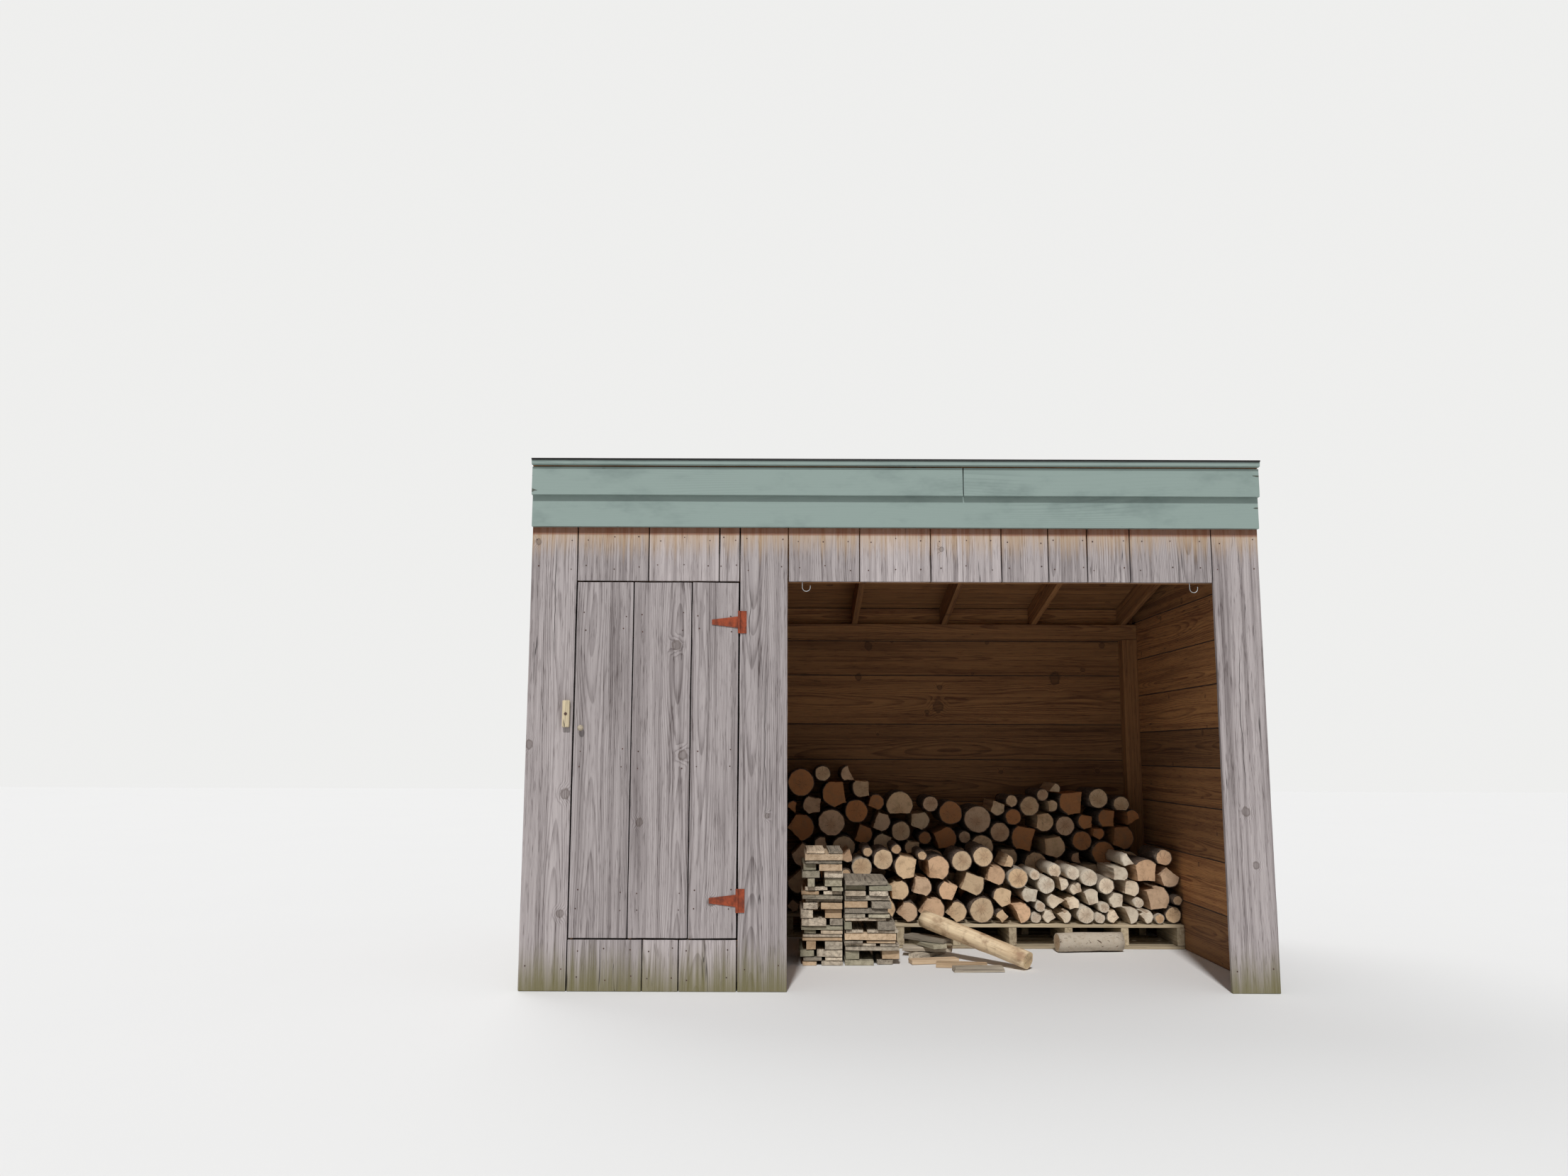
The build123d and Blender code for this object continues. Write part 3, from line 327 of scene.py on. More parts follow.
class Shader(Nodes):
    """A material whose pattern is built up from noise, steps and mixed colours."""

    def __init__(self, name):
        self.material = bpy.data.materials.new(name)
        self.material.use_nodes = True
        super().__init__(self.material.node_tree)
        self.surface = self.tree.nodes["Principled BSDF"]

    def times(self, first, second):
        return self.math("MULTIPLY", first, second)

    def times_plus(self, first, second, added):
        """The first times the second, plus the third."""
        return self.math("MULTIPLY_ADD", first, second, added)

    def apart(self, first, second):
        """How far two values lie apart."""
        return self.math("ABSOLUTE", self.math("SUBTRACT", first, second))

    def rings(self, distance, per_metre):
        """A saw-tooth wave that rises from 0 to 1 across each year ring."""
        return self.math("FRACT", self.times(distance, per_metre))

    def vector(self, operation, first, second=None):
        node = self.add("ShaderNodeVectorMath", {0: first, 1: second}, operation=operation)
        return node.outputs["Value" if operation == "LENGTH" else "Vector"]

    def stretch(self, vector, x, y, z):
        return self.vector("MULTIPLY", vector, (x, y, z))

    def noise(self, vector, waves, detail=2.0, roughness=0.5, colour=False):
        """Noise with so many waves to the metre along x, y and z."""
        inputs = {"Vector": self.stretch(vector, *waves), "Scale": 1.0, "Detail": detail, "Roughness": roughness}
        return self.add("ShaderNodeTexNoise", inputs).outputs["Color" if colour else "Fac"]

    def step(self, value, low, high, to_low=0.0, to_high=1.0):
        """Smooth change from to_low at low to to_high at high, where low may be the greater one."""
        inputs = {"Value": value, "From Min": low, "From Max": high, "To Min": to_low, "To Max": to_high}
        return self.add("ShaderNodeMapRange", inputs, interpolation_type="SMOOTHSTEP").outputs[0]

    def between(self, value, rise, fall):
        """1 between two smooth changes, each given as where it starts and ends."""
        return self.times(self.step(value, *rise), self.step(value, *fall))

    def mix(self, factor, first, second, share=1.0, blend="MIX"):
        """The second colour over the first as far as factor times share."""
        if share < 1:
            factor = self.times(factor, share)
        inputs = {0: factor, 6: first, 7: second}
        return self.add("ShaderNodeMix", inputs, data_type="RGBA", blend_type=blend).outputs[2]

    def attribute(self, name, output="Fac"):
        return self.add("ShaderNodeAttribute", attribute_name=name).outputs[output]

    def place(self):
        """Where a point lies in the part's own frame."""
        return self.add("ShaderNodeTexCoord").outputs["Object"]

    def finish(self, colour, roughness, height=None, strength=0.4, distance=0.002):
        """Give the surface its colour and roughness, and the height as bumps of up to a distance."""
        self.feed(self.surface.inputs["Base Color"], colour)
        self.feed(self.surface.inputs["Roughness"], roughness)
        if height is not None:
            inputs = {"Height": height, "Strength": strength, "Distance": distance}
            self.feed(self.surface.inputs["Normal"], self.add("ShaderNodeBump", inputs).outputs[0])
        return self.material


def rgba(colour):
    """A colour's three channels with full cover."""
    return (*colour[:3], 1.0)


def darker(colour, share):
    """A share of a colour's light."""
    return [channel * share for channel in colour]


def woods(settings, kind):
    """The light, dark and knot colours of one kind of wood."""
    return [getattr(settings, f"{kind}_{part}") for part in ("light", "dark", "knot")]


def knot_field(shader, grain, share, placed):
    """Ragged distance to the nearest knot, in radii of it.

    Placed knots are given as (x, height, radius), and the others are strewn over a share of a board's cells.
    """
    side, _, along = shader.parts(shader.stretch(grain, KNOTS_ACROSS, 1.0, KNOTS_ALONG))
    on_face = shader.combine(side, along)
    cells = shader.add("ShaderNodeTexVoronoi", {"Vector": on_face, "Scale": 1.0, "Randomness": 0.65},
                       voronoi_dimensions="2D")
    apart = shader.vector("SUBTRACT", on_face, cells.outputs["Position"])
    distance = shader.vector("LENGTH", shader.stretch(apart, 1 / KNOTS_ACROSS, 0.85 / KNOTS_ALONG, 0.0))
    pick, size = shader.parts(cells.outputs["Color"])[:2]
    ratio = shader.math("DIVIDE", distance, shader.times_plus(size, 0.011, 0.006))
    is_knot = shader.math("GREATER_THAN", pick, 1 - share)
    ratio = shader.math("ADD", ratio, shader.times_plus(is_knot, -100.0, 100.0))
    for knot_x, knot_z, radius in placed:
        apart = shader.vector("SUBTRACT", shader.place(), (knot_x, 0.0, knot_z))
        distance = shader.vector("LENGTH", shader.stretch(apart, 1.0, 0.0, 0.85))
        ratio = shader.math("MINIMUM", ratio, shader.math("DIVIDE", distance, radius))
    ratio = shader.times_plus(shader.noise(grain, (55, 55, 40)), 0.9, ratio)
    return shader.math("SUBTRACT", ratio, 0.45)


def drying_cracks(shader, grain, amount):
    """Fine lines along the fibres, in patches that grow with the amount."""
    wave = shader.noise(grain, (36, 36, 0.55), 2.0, 0.4)
    line = shader.step(shader.apart(wave, 0.5), 0.0055, 0.0015)
    spread = 0.16 * amount
    patch = shader.step(shader.noise(grain, (5.5, 5.5, 0.9), 1.0), 0.62 - spread, 0.68 - spread)
    return shader.times(line, patch)


def sawn_wood(name, light, dark, knot, ring_depth=0.3, streak_depth=0.4, checks=0.5, knots=0.35, stains=0.5,
              tone_spread=0.3, overlay=None, relief=0.45, placed=()):
    """Sawn board: year rings cut along the stem, fibre streaks, knots, stains and drying cracks."""
    shader = Shader(name)
    grain = shader.attribute("grain", "Vector")
    tone = shader.attribute("tone")
    knot_ratio = knot_field(shader, grain, knots, placed)
    knot_mask = shader.step(knot_ratio, 1.15, 0.75)
    knot_rim = shader.between(knot_ratio, (1.25, 1.0), (0.65, 0.92))
    knot_pull = shader.step(knot_ratio, 2.8, 0.4)

    sway = shader.vector("SUBTRACT", shader.noise(grain, (2.0, 2.0, 0.5), colour=True), (0.5, 0.5, 0.5))
    rings_at = shader.vector("ADD", grain, shader.stretch(sway, 0.11, 0.11, 0.0))
    stem_distance = shader.vector("LENGTH", shader.stretch(rings_at, 1.0, 1.0, 0.0))
    stem_distance = shader.times_plus(knot_pull, 0.015, stem_distance)
    ring_line = shader.between(shader.rings(stem_distance, 150.0), (0.35, 0.92), (1.0, 0.94))

    fibres = shader.noise(grain, (330, 330, 5.0), 3.0, 0.6)
    streaks = shader.noise(grain, (48, 48, 0.7), 3.0, 0.55)
    blotches = shader.noise(grain, (7.0, 7.0, 1.3), 3.0, 0.6)
    flecks = shader.noise(grain, (170, 170, 11.0), 2.0, 0.6)
    dark_share = shader.times(ring_line, ring_depth)
    for pattern, low, high, share in (
        (flecks, 0.52, 0.74, streak_depth * 0.9),
        (fibres, 0.3, 0.75, streak_depth * 0.5),
        (streaks, 0.38, 0.72, streak_depth),
        (blotches, 0.45, 0.8, stains * 0.5),
    ):
        dark_share = shader.times_plus(shader.step(pattern, low, high), share, dark_share)
    colour = shader.mix(shader.math("MINIMUM", dark_share, 1.0), light, dark)
    shade = shader.times_plus(tone, tone_spread, 1 - tone_spread / 2)
    colour = shader.mix(1.0, colour, shader.combine(shade, shade, shade), blend="MULTIPLY")
    if overlay:
        colour = overlay(shader, colour, streaks, blotches)
    colour = shader.mix(knot_mask, colour, knot, 0.45)
    colour = shader.mix(knot_rim, colour, knot, 0.5)
    crack = drying_cracks(shader, grain, checks)
    colour = shader.mix(crack, colour, darker(dark, 0.16), 0.75)

    height = shader.times_plus(ring_line, 0.35, shader.times(fibres, 0.5))
    height = shader.times_plus(crack, -1.6, height)
    height = shader.times_plus(knot_mask, 0.3, height)
    return shader.finish(colour, 0.86, height, relief, 0.0022)


def front_overlay(settings, shader, colour, streaks, blotches):
    """Sheltered band under the frieze, red-brown runs that are part stain and part painted shadow of the frieze,
    damp growth near the ground, and long cracks in the jambs.
    """
    across, _, height = shader.parts(shader.place())
    band_edge = shader.times_plus(streaks, 0.22, height)
    band = shader.step(band_edge, FRIEZE_UNDERSIDE - 0.06, FRIEZE_UNDERSIDE + 0.12)
    colour = shader.mix(band, colour, settings.fresh_band, 0.5)
    # Red-brown runs at the top of the boards: part stain, part painted shadow under the frieze.
    runs = shader.noise(shader.place(), (13.0, 13.0, 4.0), 3.0, 0.6)
    run_edge = shader.times_plus(shader.math("ADD", runs, streaks), 0.22, height)
    stain_and_shadow_runs = shader.step(run_edge, FRIEZE_UNDERSIDE + 0.19, FRIEZE_UNDERSIDE + 0.26)
    colour = shader.mix(stain_and_shadow_runs, colour, settings.stain_and_shadow_colour, 0.55)
    # Painted shadow of the frieze: the top few centimetres of the boards under it.
    frieze_shadow = shader.step(height, FRIEZE_UNDERSIDE - 0.042, FRIEZE_UNDERSIDE - 0.03)
    colour = shader.mix(frieze_shadow, colour, settings.stain_and_shadow_colour, 0.75)
    for number, (side, low, high) in enumerate(LONG_CRACKS):
        bend = shader.noise(shader.combine(number * 7.0, 0.0, height), (1, 1, 2.6), 3.0, 0.6)
        line = shader.times_plus(bend, 0.05, side - 0.025)
        distance = shader.apart(across, line)
        line_mask = shader.step(distance, 0.0022, 0.0008)
        line_mask = shader.times(line_mask, shader.step(height, low, low + 0.12))
        line_mask = shader.times(line_mask, shader.step(height, high, high - 0.12))
        colour = shader.mix(line_mask, colour, linear(30, 24, 22), 0.85)
    damp_edge = shader.times_plus(streaks, -0.22, height)
    damp_edge = shader.times_plus(blotches, 0.10, damp_edge)
    damp = shader.step(damp_edge, settings.algae_height * 0.75, -0.08)
    return shader.mix(damp, colour, settings.algae, 0.85)


def wall_overlay(settings, shader, colour, streaks, blotches):
    """Damp growth near the ground, without a sheltered band."""
    height = shader.parts(shader.place())[2]
    damp_edge = shader.times_plus(blotches, -0.20, height)
    damp = shader.step(damp_edge, settings.algae_height * 0.6, -0.10)
    return shader.mix(damp, colour, settings.algae, 0.8)


def offcut_overlay(settings, shader, colour, streaks, blotches):
    """Some off-cuts are of fresher tan wood, and others have gone greenish."""
    pick = shader.math("FRACT", shader.times(shader.attribute("tone"), 9.0))
    colour = shader.mix(shader.step(pick, 0.76, 0.84, 0.0, 0.5), colour, settings.tan_offcut)
    return shader.mix(shader.step(pick, 0.34, 0.26, 0.0, 0.5), colour, settings.mossy_offcut)


def painted_wood(settings):
    """Grey-green paint over sawn wood, dirty along streaks and worn off at the corners."""
    shader = Shader("grey_green_paint")
    grain = shader.attribute("grain", "Vector")
    wear = shader.attribute("wear")
    fibres = shader.noise(grain, (260, 260, 4.0), 3.0, 0.6)
    arches = shader.noise(grain, (3.0, 3.0, 0.5), 1.0, colour=True)
    rings_at = shader.vector("ADD", grain, shader.stretch(arches, 0.12, 0.12, 0.0))
    ring = shader.rings(shader.vector("LENGTH", shader.stretch(rings_at, 1, 1, 0)), 120)
    dirt = shader.noise(shader.place(), (3.0, 3.0, 7.0), 4.0, 0.65)
    colour = shader.mix(shader.step(dirt, 0.48, 0.82, 0.0, 0.6), settings.paint, settings.paint_dirty)
    grain_zone = shader.step(shader.noise(grain, (2.0, 2.0, 1.1), 1.0), 0.5, 0.62, 0.04, 0.3)
    grain_show = shader.times(shader.step(ring, 0.55, 0.95), grain_zone)
    colour = shader.mix(grain_show, colour, settings.paint_dirty)
    specks = shader.noise(shader.place(), (60, 60, 60), 2.0, 0.5)
    scuffs = shader.noise(grain, (34, 34, 5.0), 2.0, 0.5)
    worn = shader.times_plus(wear, 0.22, scuffs)
    chip = shader.step(shader.times_plus(specks, 0.12, worn), 0.965, 0.98)
    colour = shader.mix(chip, colour, settings.chipped)
    height = shader.times_plus(ring, 0.2, shader.times(fibres, 0.3))
    height = shader.times_plus(chip, -0.8, height)
    return shader.finish(colour, shader.step(chip, 0.0, 1.0, 0.55, 0.85), height, 0.3, 0.001)


def shingle_material(settings):
    """Grit-covered shingles that differ from tab to tab, with moss-grey weathering and a painted shadow band just
    under the lower edge of the course above.
    """
    shader = Shader("shingle_grit")
    place = shader.place()
    tint = shader.attribute("tint")
    grit = shader.noise(place, (420, 420, 420), 2.0, 0.8)
    patches = shader.noise(place, (5, 5, 5), 4.0, 0.6)
    mixed = shader.times_plus(shader.step(grit, 0.35, 0.7), 0.45, shader.times(tint, 0.35))
    mixed = shader.times_plus(patches, 0.3, mixed)
    colour = shader.mix(mixed, settings.felt_dark, settings.felt_light)
    up_tab = shader.times_plus(patches, 0.06, shader.attribute("up_tab"))
    # Painted shadow: a dark band just under the lower edge of the course above.
    damp = shader.step(up_tab, 0.20, 0.27, 0.0, 0.75)
    colour = shader.mix(damp, colour, darker(settings.felt_dark, 0.3))
    return shader.finish(colour, 0.93, grit, 0.6, 0.0012)


def rust_material(settings):
    """Iron covered in rust, brighter in patches and rough all over."""
    shader = Shader("orange_rust")
    place = shader.place()
    patches = shader.noise(place, (38, 38, 26), 4.0, 0.65)
    pits = shader.noise(place, (420, 420, 420), 3.0, 0.7)
    share = shader.times_plus(pits, 0.35, shader.step(patches, 0.32, 0.68, 0.0, 0.8))
    colour = shader.mix(shader.math("MINIMUM", share, 1.0), settings.rust_dark, settings.rust_light)
    return shader.finish(colour, 0.88, pits, 0.6, 0.0008)


def nail_material(settings):
    """Dark iron with a little rust."""
    shader = Shader("nail_iron")
    specks = shader.noise(shader.place(), (260, 260, 260), 2.0, 0.6)
    colour = shader.mix(shader.step(specks, 0.45, 0.7), settings.nail_iron, settings.rust_dark)
    return shader.finish(colour, 0.8, specks, 0.3, 0.0004)


def wire_material():
    """Dull zinc-coated wire."""
    shader = Shader("dull_zinc")
    spots = shader.noise(shader.place(), (180, 180, 180), 3.0, 0.6)
    colour = shader.mix(spots, linear(120, 122, 124), linear(188, 190, 190))
    shader.surface.inputs["Metallic"].default_value = 0.75
    return shader.finish(colour, shader.step(spots, 0.2, 0.8, 0.35, 0.6), spots, 0.2, 0.0005)


def bark_material(settings):
    """Ridged bark, brown or pale by the log's own tone."""
    shader = Shader("log_bark")
    pale = shader.attribute("pale")
    place = shader.place()
    ridges = shader.noise(place, (90, 16, 90), 4.0, 0.65)
    plates = shader.noise(place, (30, 9, 30), 3.0, 0.6)
    dark = shader.mix(shader.step(ridges, 0.35, 0.7), darker(settings.bark_brown, 0.35),
                      settings.bark_brown)
    dark = shader.mix(shader.step(plates, 0.55, 0.75, 0.0, 0.5), dark, linear(150, 138, 122))
    lenticels = shader.noise(place, (40, 420, 40), 2.0, 0.5)
    light = shader.mix(shader.step(lenticels, 0.62, 0.7), settings.bark_pale, linear(96, 80, 66))
    light = shader.mix(shader.step(plates, 0.5, 0.8, 0.0, 0.6), light, linear(158, 138, 112))
    colour = shader.mix(pale, dark, light)
    height = shader.times_plus(plates, 0.5, ridges)
    return shader.finish(colour, 0.92, height, 0.7, 0.004)


def end_grain_material():
    """Sawn end of a log: year rings about its pith, radial checks and saw marks."""
    shader = Shader("log_end_grain")
    stem = shader.attribute("stem", "Vector")
    tint = shader.attribute("tint", "Color")
    across, up, along = shader.parts(stem)
    wobble = shader.noise(stem, (22, 22, 0), 2.0, colour=True)
    wobble = shader.stretch(shader.vector("SUBTRACT", wobble, (0.5, 0.5, 0.5)), 0.012, 0.012, 0.0)
    rings_at = shader.vector("ADD", shader.stretch(stem, 1, 1, 0), wobble)
    from_pith = shader.vector("LENGTH", rings_at)
    ring_line = shader.between(shader.rings(from_pith, 240), (0.3, 0.9), (1.0, 0.93))
    angle = shader.math("ARCTAN2", across, up)
    spoke_wave = shader.noise(shader.combine(shader.times(angle, 3.2), from_pith, along), (1.0, 5.0, 9.0))
    crack = shader.step(shader.apart(spoke_wave, 0.5), 0.012, 0.004)
    crack = shader.times(crack, shader.step(from_pith, 0.075, 0.012))
    blotches = shader.noise(shader.place(), (22, 22, 22), 3.0, 0.6)
    saw = shader.noise(shader.place(), (12, 12, 260), 2.0, 0.5)
    colour = shader.mix(ring_line, tint, linear(112, 74, 44), 0.3)
    colour = shader.mix(shader.step(from_pith, 0.05, 0.008, 0.0, 0.3), colour, linear(158, 110, 72))
    colour = shader.mix(shader.step(blotches, 0.45, 0.78, 0.0, 0.5), colour, linear(134, 106, 78))
    dirt = shader.noise(shader.place(), (70, 70, 70), 3.0, 0.7)
    colour = shader.mix(shader.step(dirt, 0.52, 0.82, 0.0, 0.45), colour, linear(104, 80, 58))
    colour = shader.mix(crack, colour, linear(38, 26, 18), 0.9)
    height = shader.times_plus(ring_line, 0.3, shader.times(saw, 0.5))
    height = shader.times_plus(crack, -1.5, height)
    return shader.finish(colour, 0.85, height, 0.5, 0.0015)


def split_face_material():
    """Split face of a log: long fibres that run from end to end."""
    shader = Shader("log_split_face")
    stem = shader.attribute("stem", "Vector")
    tint = shader.attribute("tint", "Color")
    fibres = shader.noise(stem, (190, 190, 6), 3.0, 0.65)
    bands = shader.noise(stem, (42, 42, 2.0), 3.0, 0.55)
    colour = shader.mix(shader.step(bands, 0.4, 0.72, 0.0, 0.65), tint, linear(138, 96, 62))
    colour = shader.mix(shader.step(fibres, 0.5, 0.78, 0.0, 0.45), colour, linear(96, 66, 44))
    height = shader.times_plus(bands, 0.8, fibres)
    return shader.finish(colour, 0.84, height, 0.6, 0.0035)


def floor_material(settings):
    """Plain pale floor that keeps the shed's shadow."""
    shader = Shader("pale_floor")
    soft = shader.noise(shader.place(), (0.8, 0.8, 0.8), 2.0)
    colour = shader.mix(soft, darker(settings.floor, 0.985), settings.floor)
    return shader.finish(colour, 0.95)


# Board meshes


def linked(name, data):
    """A new object in the scene."""
    thing = bpy.data.objects.new(name, data)
    bpy.context.scene.collection.objects.link(thing)
    return thing


def plain_copy(name, holder):
    """The evaluated shape of a curve or of a host with a modifier, as a plain mesh that takes its place."""
    graph = bpy.context.evaluated_depsgraph_get()
    mesh = bpy.data.meshes.new_from_object(holder.evaluated_get(graph))
    if not mesh.polygons:
        raise RuntimeError(f"{name} came out empty")
    holder.modifiers.clear()
    bpy.data.objects.remove(holder)
    return linked(name, mesh)


def seat(piece, body, slot, *nodes):
    """Let the piece ride on its body and stand for its nodes."""
    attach(piece, body)
    if nodes:
        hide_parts(*nodes)


def flat_copy(node):
    """A bmesh of a CAD node, its triangles joined into flat polygons."""
    mesh = bmesh.new()
    mesh.from_mesh(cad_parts[node].data)
    bmesh.ops.remove_doubles(mesh, verts=mesh.verts, dist=MERGE_DISTANCE)
    bmesh.ops.dissolve_limit(mesh, angle_limit=math.radians(1), verts=mesh.verts, edges=mesh.edges)
    return mesh


def corners_of(polygons):
    """Every corner of an island's polygons, shared ones more than once."""
    return [point for polygon in polygons for point in polygon]


def island_box(polygons):
    """The lowest and the highest corner of an island's box."""
    columns = list(zip(*corners_of(polygons)))
    return Vector([min(column) for column in columns]), Vector([max(column) for column in columns])


def node_islands(node):
    """Each solid of a CAD node as a list of flat polygons, in an order that is the same on every run."""
    whole = flat_copy(node)
    whole.faces.ensure_lookup_table()
    whole.faces.index_update()
    islands = []
    waiting = set(range(len(whole.faces)))
    while waiting:
        found = [min(waiting)]
        waiting.remove(found[0])
        for index in found:
            for edge in whole.faces[index].edges:
                for neighbour in edge.link_faces:
                    if neighbour.index in waiting:
                        waiting.remove(neighbour.index)
                        found.append(neighbour.index)
        islands.append([[vert.co.copy() for vert in whole.faces[index].verts] for index in sorted(found)])
    whole.free()
    if not islands:
        raise RuntimeError(f"{node} has no solids to dress")
    return sorted(islands, key=lambda polygons: tuple(round(c, 4) for c in min(map(tuple, corners_of(polygons)))))


def island_mesh(polygons):
    """A bmesh of one island, its corners merged and its faces turned outwards."""
    mesh = bmesh.new()
    for polygon in polygons:
        mesh.faces.new([mesh.verts.new(co) for co in polygon])
    bmesh.ops.remove_doubles(mesh, verts=mesh.verts, dist=MERGE_DISTANCE)
    bmesh.ops.recalc_face_normals(mesh, faces=mesh.faces)
    return mesh


def round_edges(mesh, width, turn):
    """Round every edge at which the surface turns by more than an angle."""
    sharp = [e for e in mesh.edges if len(e.link_faces) == 2 and e.calc_face_angle() > turn]
    bmesh.ops.bevel(mesh, geom=sharp, offset=width, segments=2, profile=0.6, affect="EDGES", clamp_overlap=True)


def cut(mesh, axis, at):
    """Cut a bmesh square to an axis, at a distance along it."""
    geometry = mesh.verts[:] + mesh.edges[:] + mesh.faces[:]
    bmesh.ops.bisect_plane(mesh, geom=geometry, plane_co=axis * at, plane_no=axis)


def board_axes(mesh, grain=None):
    """Unit vectors across, through and along a board, from its grain or longest edge, and its widest face."""
    longest = max(mesh.edges, key=lambda edge: edge.calc_length())
    along = grain or (longest.verts[1].co - longest.verts[0].co).normalized()
    if max(along, key=abs) < 0:
        along.negate()
    widest = max(mesh.faces, key=lambda face: face.calc_area())
    through = (widest.normal - along * widest.normal.dot(along)).normalized()
    return through.cross(along).normalized(), through, along


def extent(mesh, axis):
    """How far a bmesh reaches along an axis, as its two ends."""
    reach = [vert.co.dot(axis) for vert in mesh.verts]
    return min(reach), max(reach)


class PieceMesh:
    """Gathers many islands into one mesh, with named values at its points and a material for each face."""

    FIELDS = {"FLOAT": "value", "FLOAT_VECTOR": "vector", "FLOAT_COLOR": "color"}

    def __init__(self, name, **kinds):
        self.name, self.kinds = name, kinds
        self.points, self.faces, self.materials, self.smooth = [], [], [], []
        self.values = {key: [] for key in kinds}

    def put(self, point, **values):
        """Add a point with its values."""
        self.points.append(point)
        for key, value in values.items():
            self.values[key] += [value] if self.kinds[key] == "FLOAT" else value

    def span(self, corners, material=0, smooth=False):
        """Add a face over points that were put before."""
        self.faces.append(corners)
        self.materials.append(material)
        self.smooth.append(smooth)

    def span_like(self, mesh, base, material_of):
        """Add the faces of an indexed bmesh whose first point is number base here."""
        rings = []
        for face in mesh.faces:
            corners = [base + vert.index for vert in face.verts]
            first = corners.index(min(corners))
            rings.append((corners[first:] + corners[:first], face))
        for corners, face in sorted(rings, key=lambda ring: ring[0]):
            self.span(corners, material_of(face.normal, face.calc_center_median()))

    def build(self, materials):
        mesh = bpy.data.meshes.new(self.name)
        mesh.from_pydata(self.points, [], self.faces)
        for key, kind in self.kinds.items():
            mesh.attributes.new(key, kind, "POINT").data.foreach_set(self.FIELDS[kind], self.values[key])
        for material in materials:
            mesh.materials.append(material)
        mesh.polygons.foreach_set("material_index", self.materials)
        mesh.polygons.foreach_set("use_smooth", self.smooth)
        mesh.update()
        return linked(self.name, mesh)


def wander(at, seed, size):
    """A smooth value from 0 to 1 that changes over size metres."""
    return 0.5 + 0.5 * max(-1.0, min(1.0, 1.4 * noise.noise(at / size + Vector((seed, seed * 0.37, 0)))))


def add_board(piece, polygons, picker, material_of, corner, edge, face, station, swell=0.0, grain=None):
    """Round a board's corners, cut it into stations and let its edges and faces wander inwards.

    A swollen board reaches into half of the gap beside it, so that the joint is a dark groove.
    """
    mesh = island_mesh(polygons)
    axes = board_axes(mesh, grain)
    across, through, along = axes
    spans = [extent(mesh, axis) for axis in axes]
    mids = [(low + high) / 2 for low, high in spans]
    halves = [(high - low) / 2 for low, high in spans]
    reach = min(corner, halves[1] * 0.4)
    round_edges(mesh, reach, math.radians(25))
    count = max(2, round(2 * halves[2] / station))
    for index in range(1, count):
        cut(mesh, along, spans[2][0] + 2 * halves[2] * (index + picker.uniform(-0.2, 0.2)) / count)
    if halves[0] > WIDE_BOARD / 2:
        for share in (-0.34, 0.34):
            cut(mesh, across, mids[0] + 2 * halves[0] * share * picker.uniform(0.8, 1.1))
    seed = picker.uniform(0, 900)
    pith = Vector((picker.uniform(-0.7, 0.7) * halves[0], picker.uniform(0.02, 0.11), picker.uniform(0, 60)))
    tone = picker.random()
    base = len(piece.points)
    for index, vert in enumerate(mesh.verts):
        vert.index = index
        local = [vert.co.dot(axis) - mid for axis, mid in zip(axes, mids)]
        moved = vert.co.copy()
        side = local[0] / halves[0]
        if abs(side) > 0.9:
            shift = edge * wander(Vector((local[2], seed, math.copysign(3, side))), seed, 0.35)
            shift += 0.35 * edge * wander(Vector((local[2], 7.0, math.copysign(5, side))), seed, 0.06)
            if 0.002 < moved.z < WALL_TOP:
                shift -= swell
            moved -= across * (shift if side > 0 else -shift)
        if abs(local[1] / halves[1]) > 0.8:
            shift = face * wander(Vector((local[2], side * 0.1, math.copysign(9, local[1]))), seed, 0.22)
            moved -= through * math.copysign(shift, local[1])
        if abs(local[2] / halves[2]) > 0.999 - 0.002 / halves[2]:
            shift = 1.5 * edge * wander(Vector((local[0], local[1], 5.0)), seed, 0.04)
            moved -= along * math.copysign(shift, local[2])
        values = {"grain": [value + offset for value, offset in zip(local, pith)], "tone": tone}
        if "wear" in piece.kinds:
            near = sum(half - abs(value) < reach * 1.01 for value, half in zip(local, halves))
            values["wear"] = float(near > 1)
        piece.put(moved, **values)
    piece.span_like(mesh, base, material_of)
    mesh.free()


def board_piece(prefix, node, body, slot, materials, settings, material_of=None, *, seed, wear=None, **shape):
    """One piece that stands for the boards of a CAD node; shape overrides the settings' measures."""
    picker = random.Random(seed)
    shape = {"corner": settings.corner_wear, "edge": settings.edge_wander, "face": settings.face_wander,
             "station": settings.station, **shape}
    piece = PieceMesh(prefix + node, grain="FLOAT_VECTOR", tone="FLOAT", **({"wear": "FLOAT"} if wear else {}))
    for polygons in node_islands(node):
        add_board(piece, polygons, picker, material_of or (lambda normal, middle: 0), **shape)
    seat(piece.build(materials), body, slot, node)


# Firewood meshes


def end_corners(polygons):
    """Corners of a log's front end in order round it, and its two ends along the row."""
    depths = [point.y for point in corners_of(polygons)]
    front, back = min(depths), max(depths)
    ends = [p for p in polygons if all(abs(point.y - front) < 0.0005 for point in p)]
    if not ends:
        raise RuntimeError("a log has no flat end at the front")
    return [(point.x, point.z) for point in max(ends, key=len)], front, back


def circle_through(corners):
    """Centre and radius of the circle that a log's corners lie on."""
    (ax, ay), (bx, by), (cx, cy) = corners[0], corners[len(corners) // 3], corners[2 * len(corners) // 3]
    twice = 2 * (ax * (by - cy) + bx * (cy - ay) + cx * (ay - by))
    a, b, c = ax * ax + ay * ay, bx * bx + by * by, cx * cx + cy * cy
    x = (a * (by - cy) + b * (cy - ay) + c * (ay - by)) / twice
    z = (a * (cx - bx) + b * (ax - cx) + c * (bx - ax)) / twice
    return x, z, math.hypot(ax - x, ay - z)


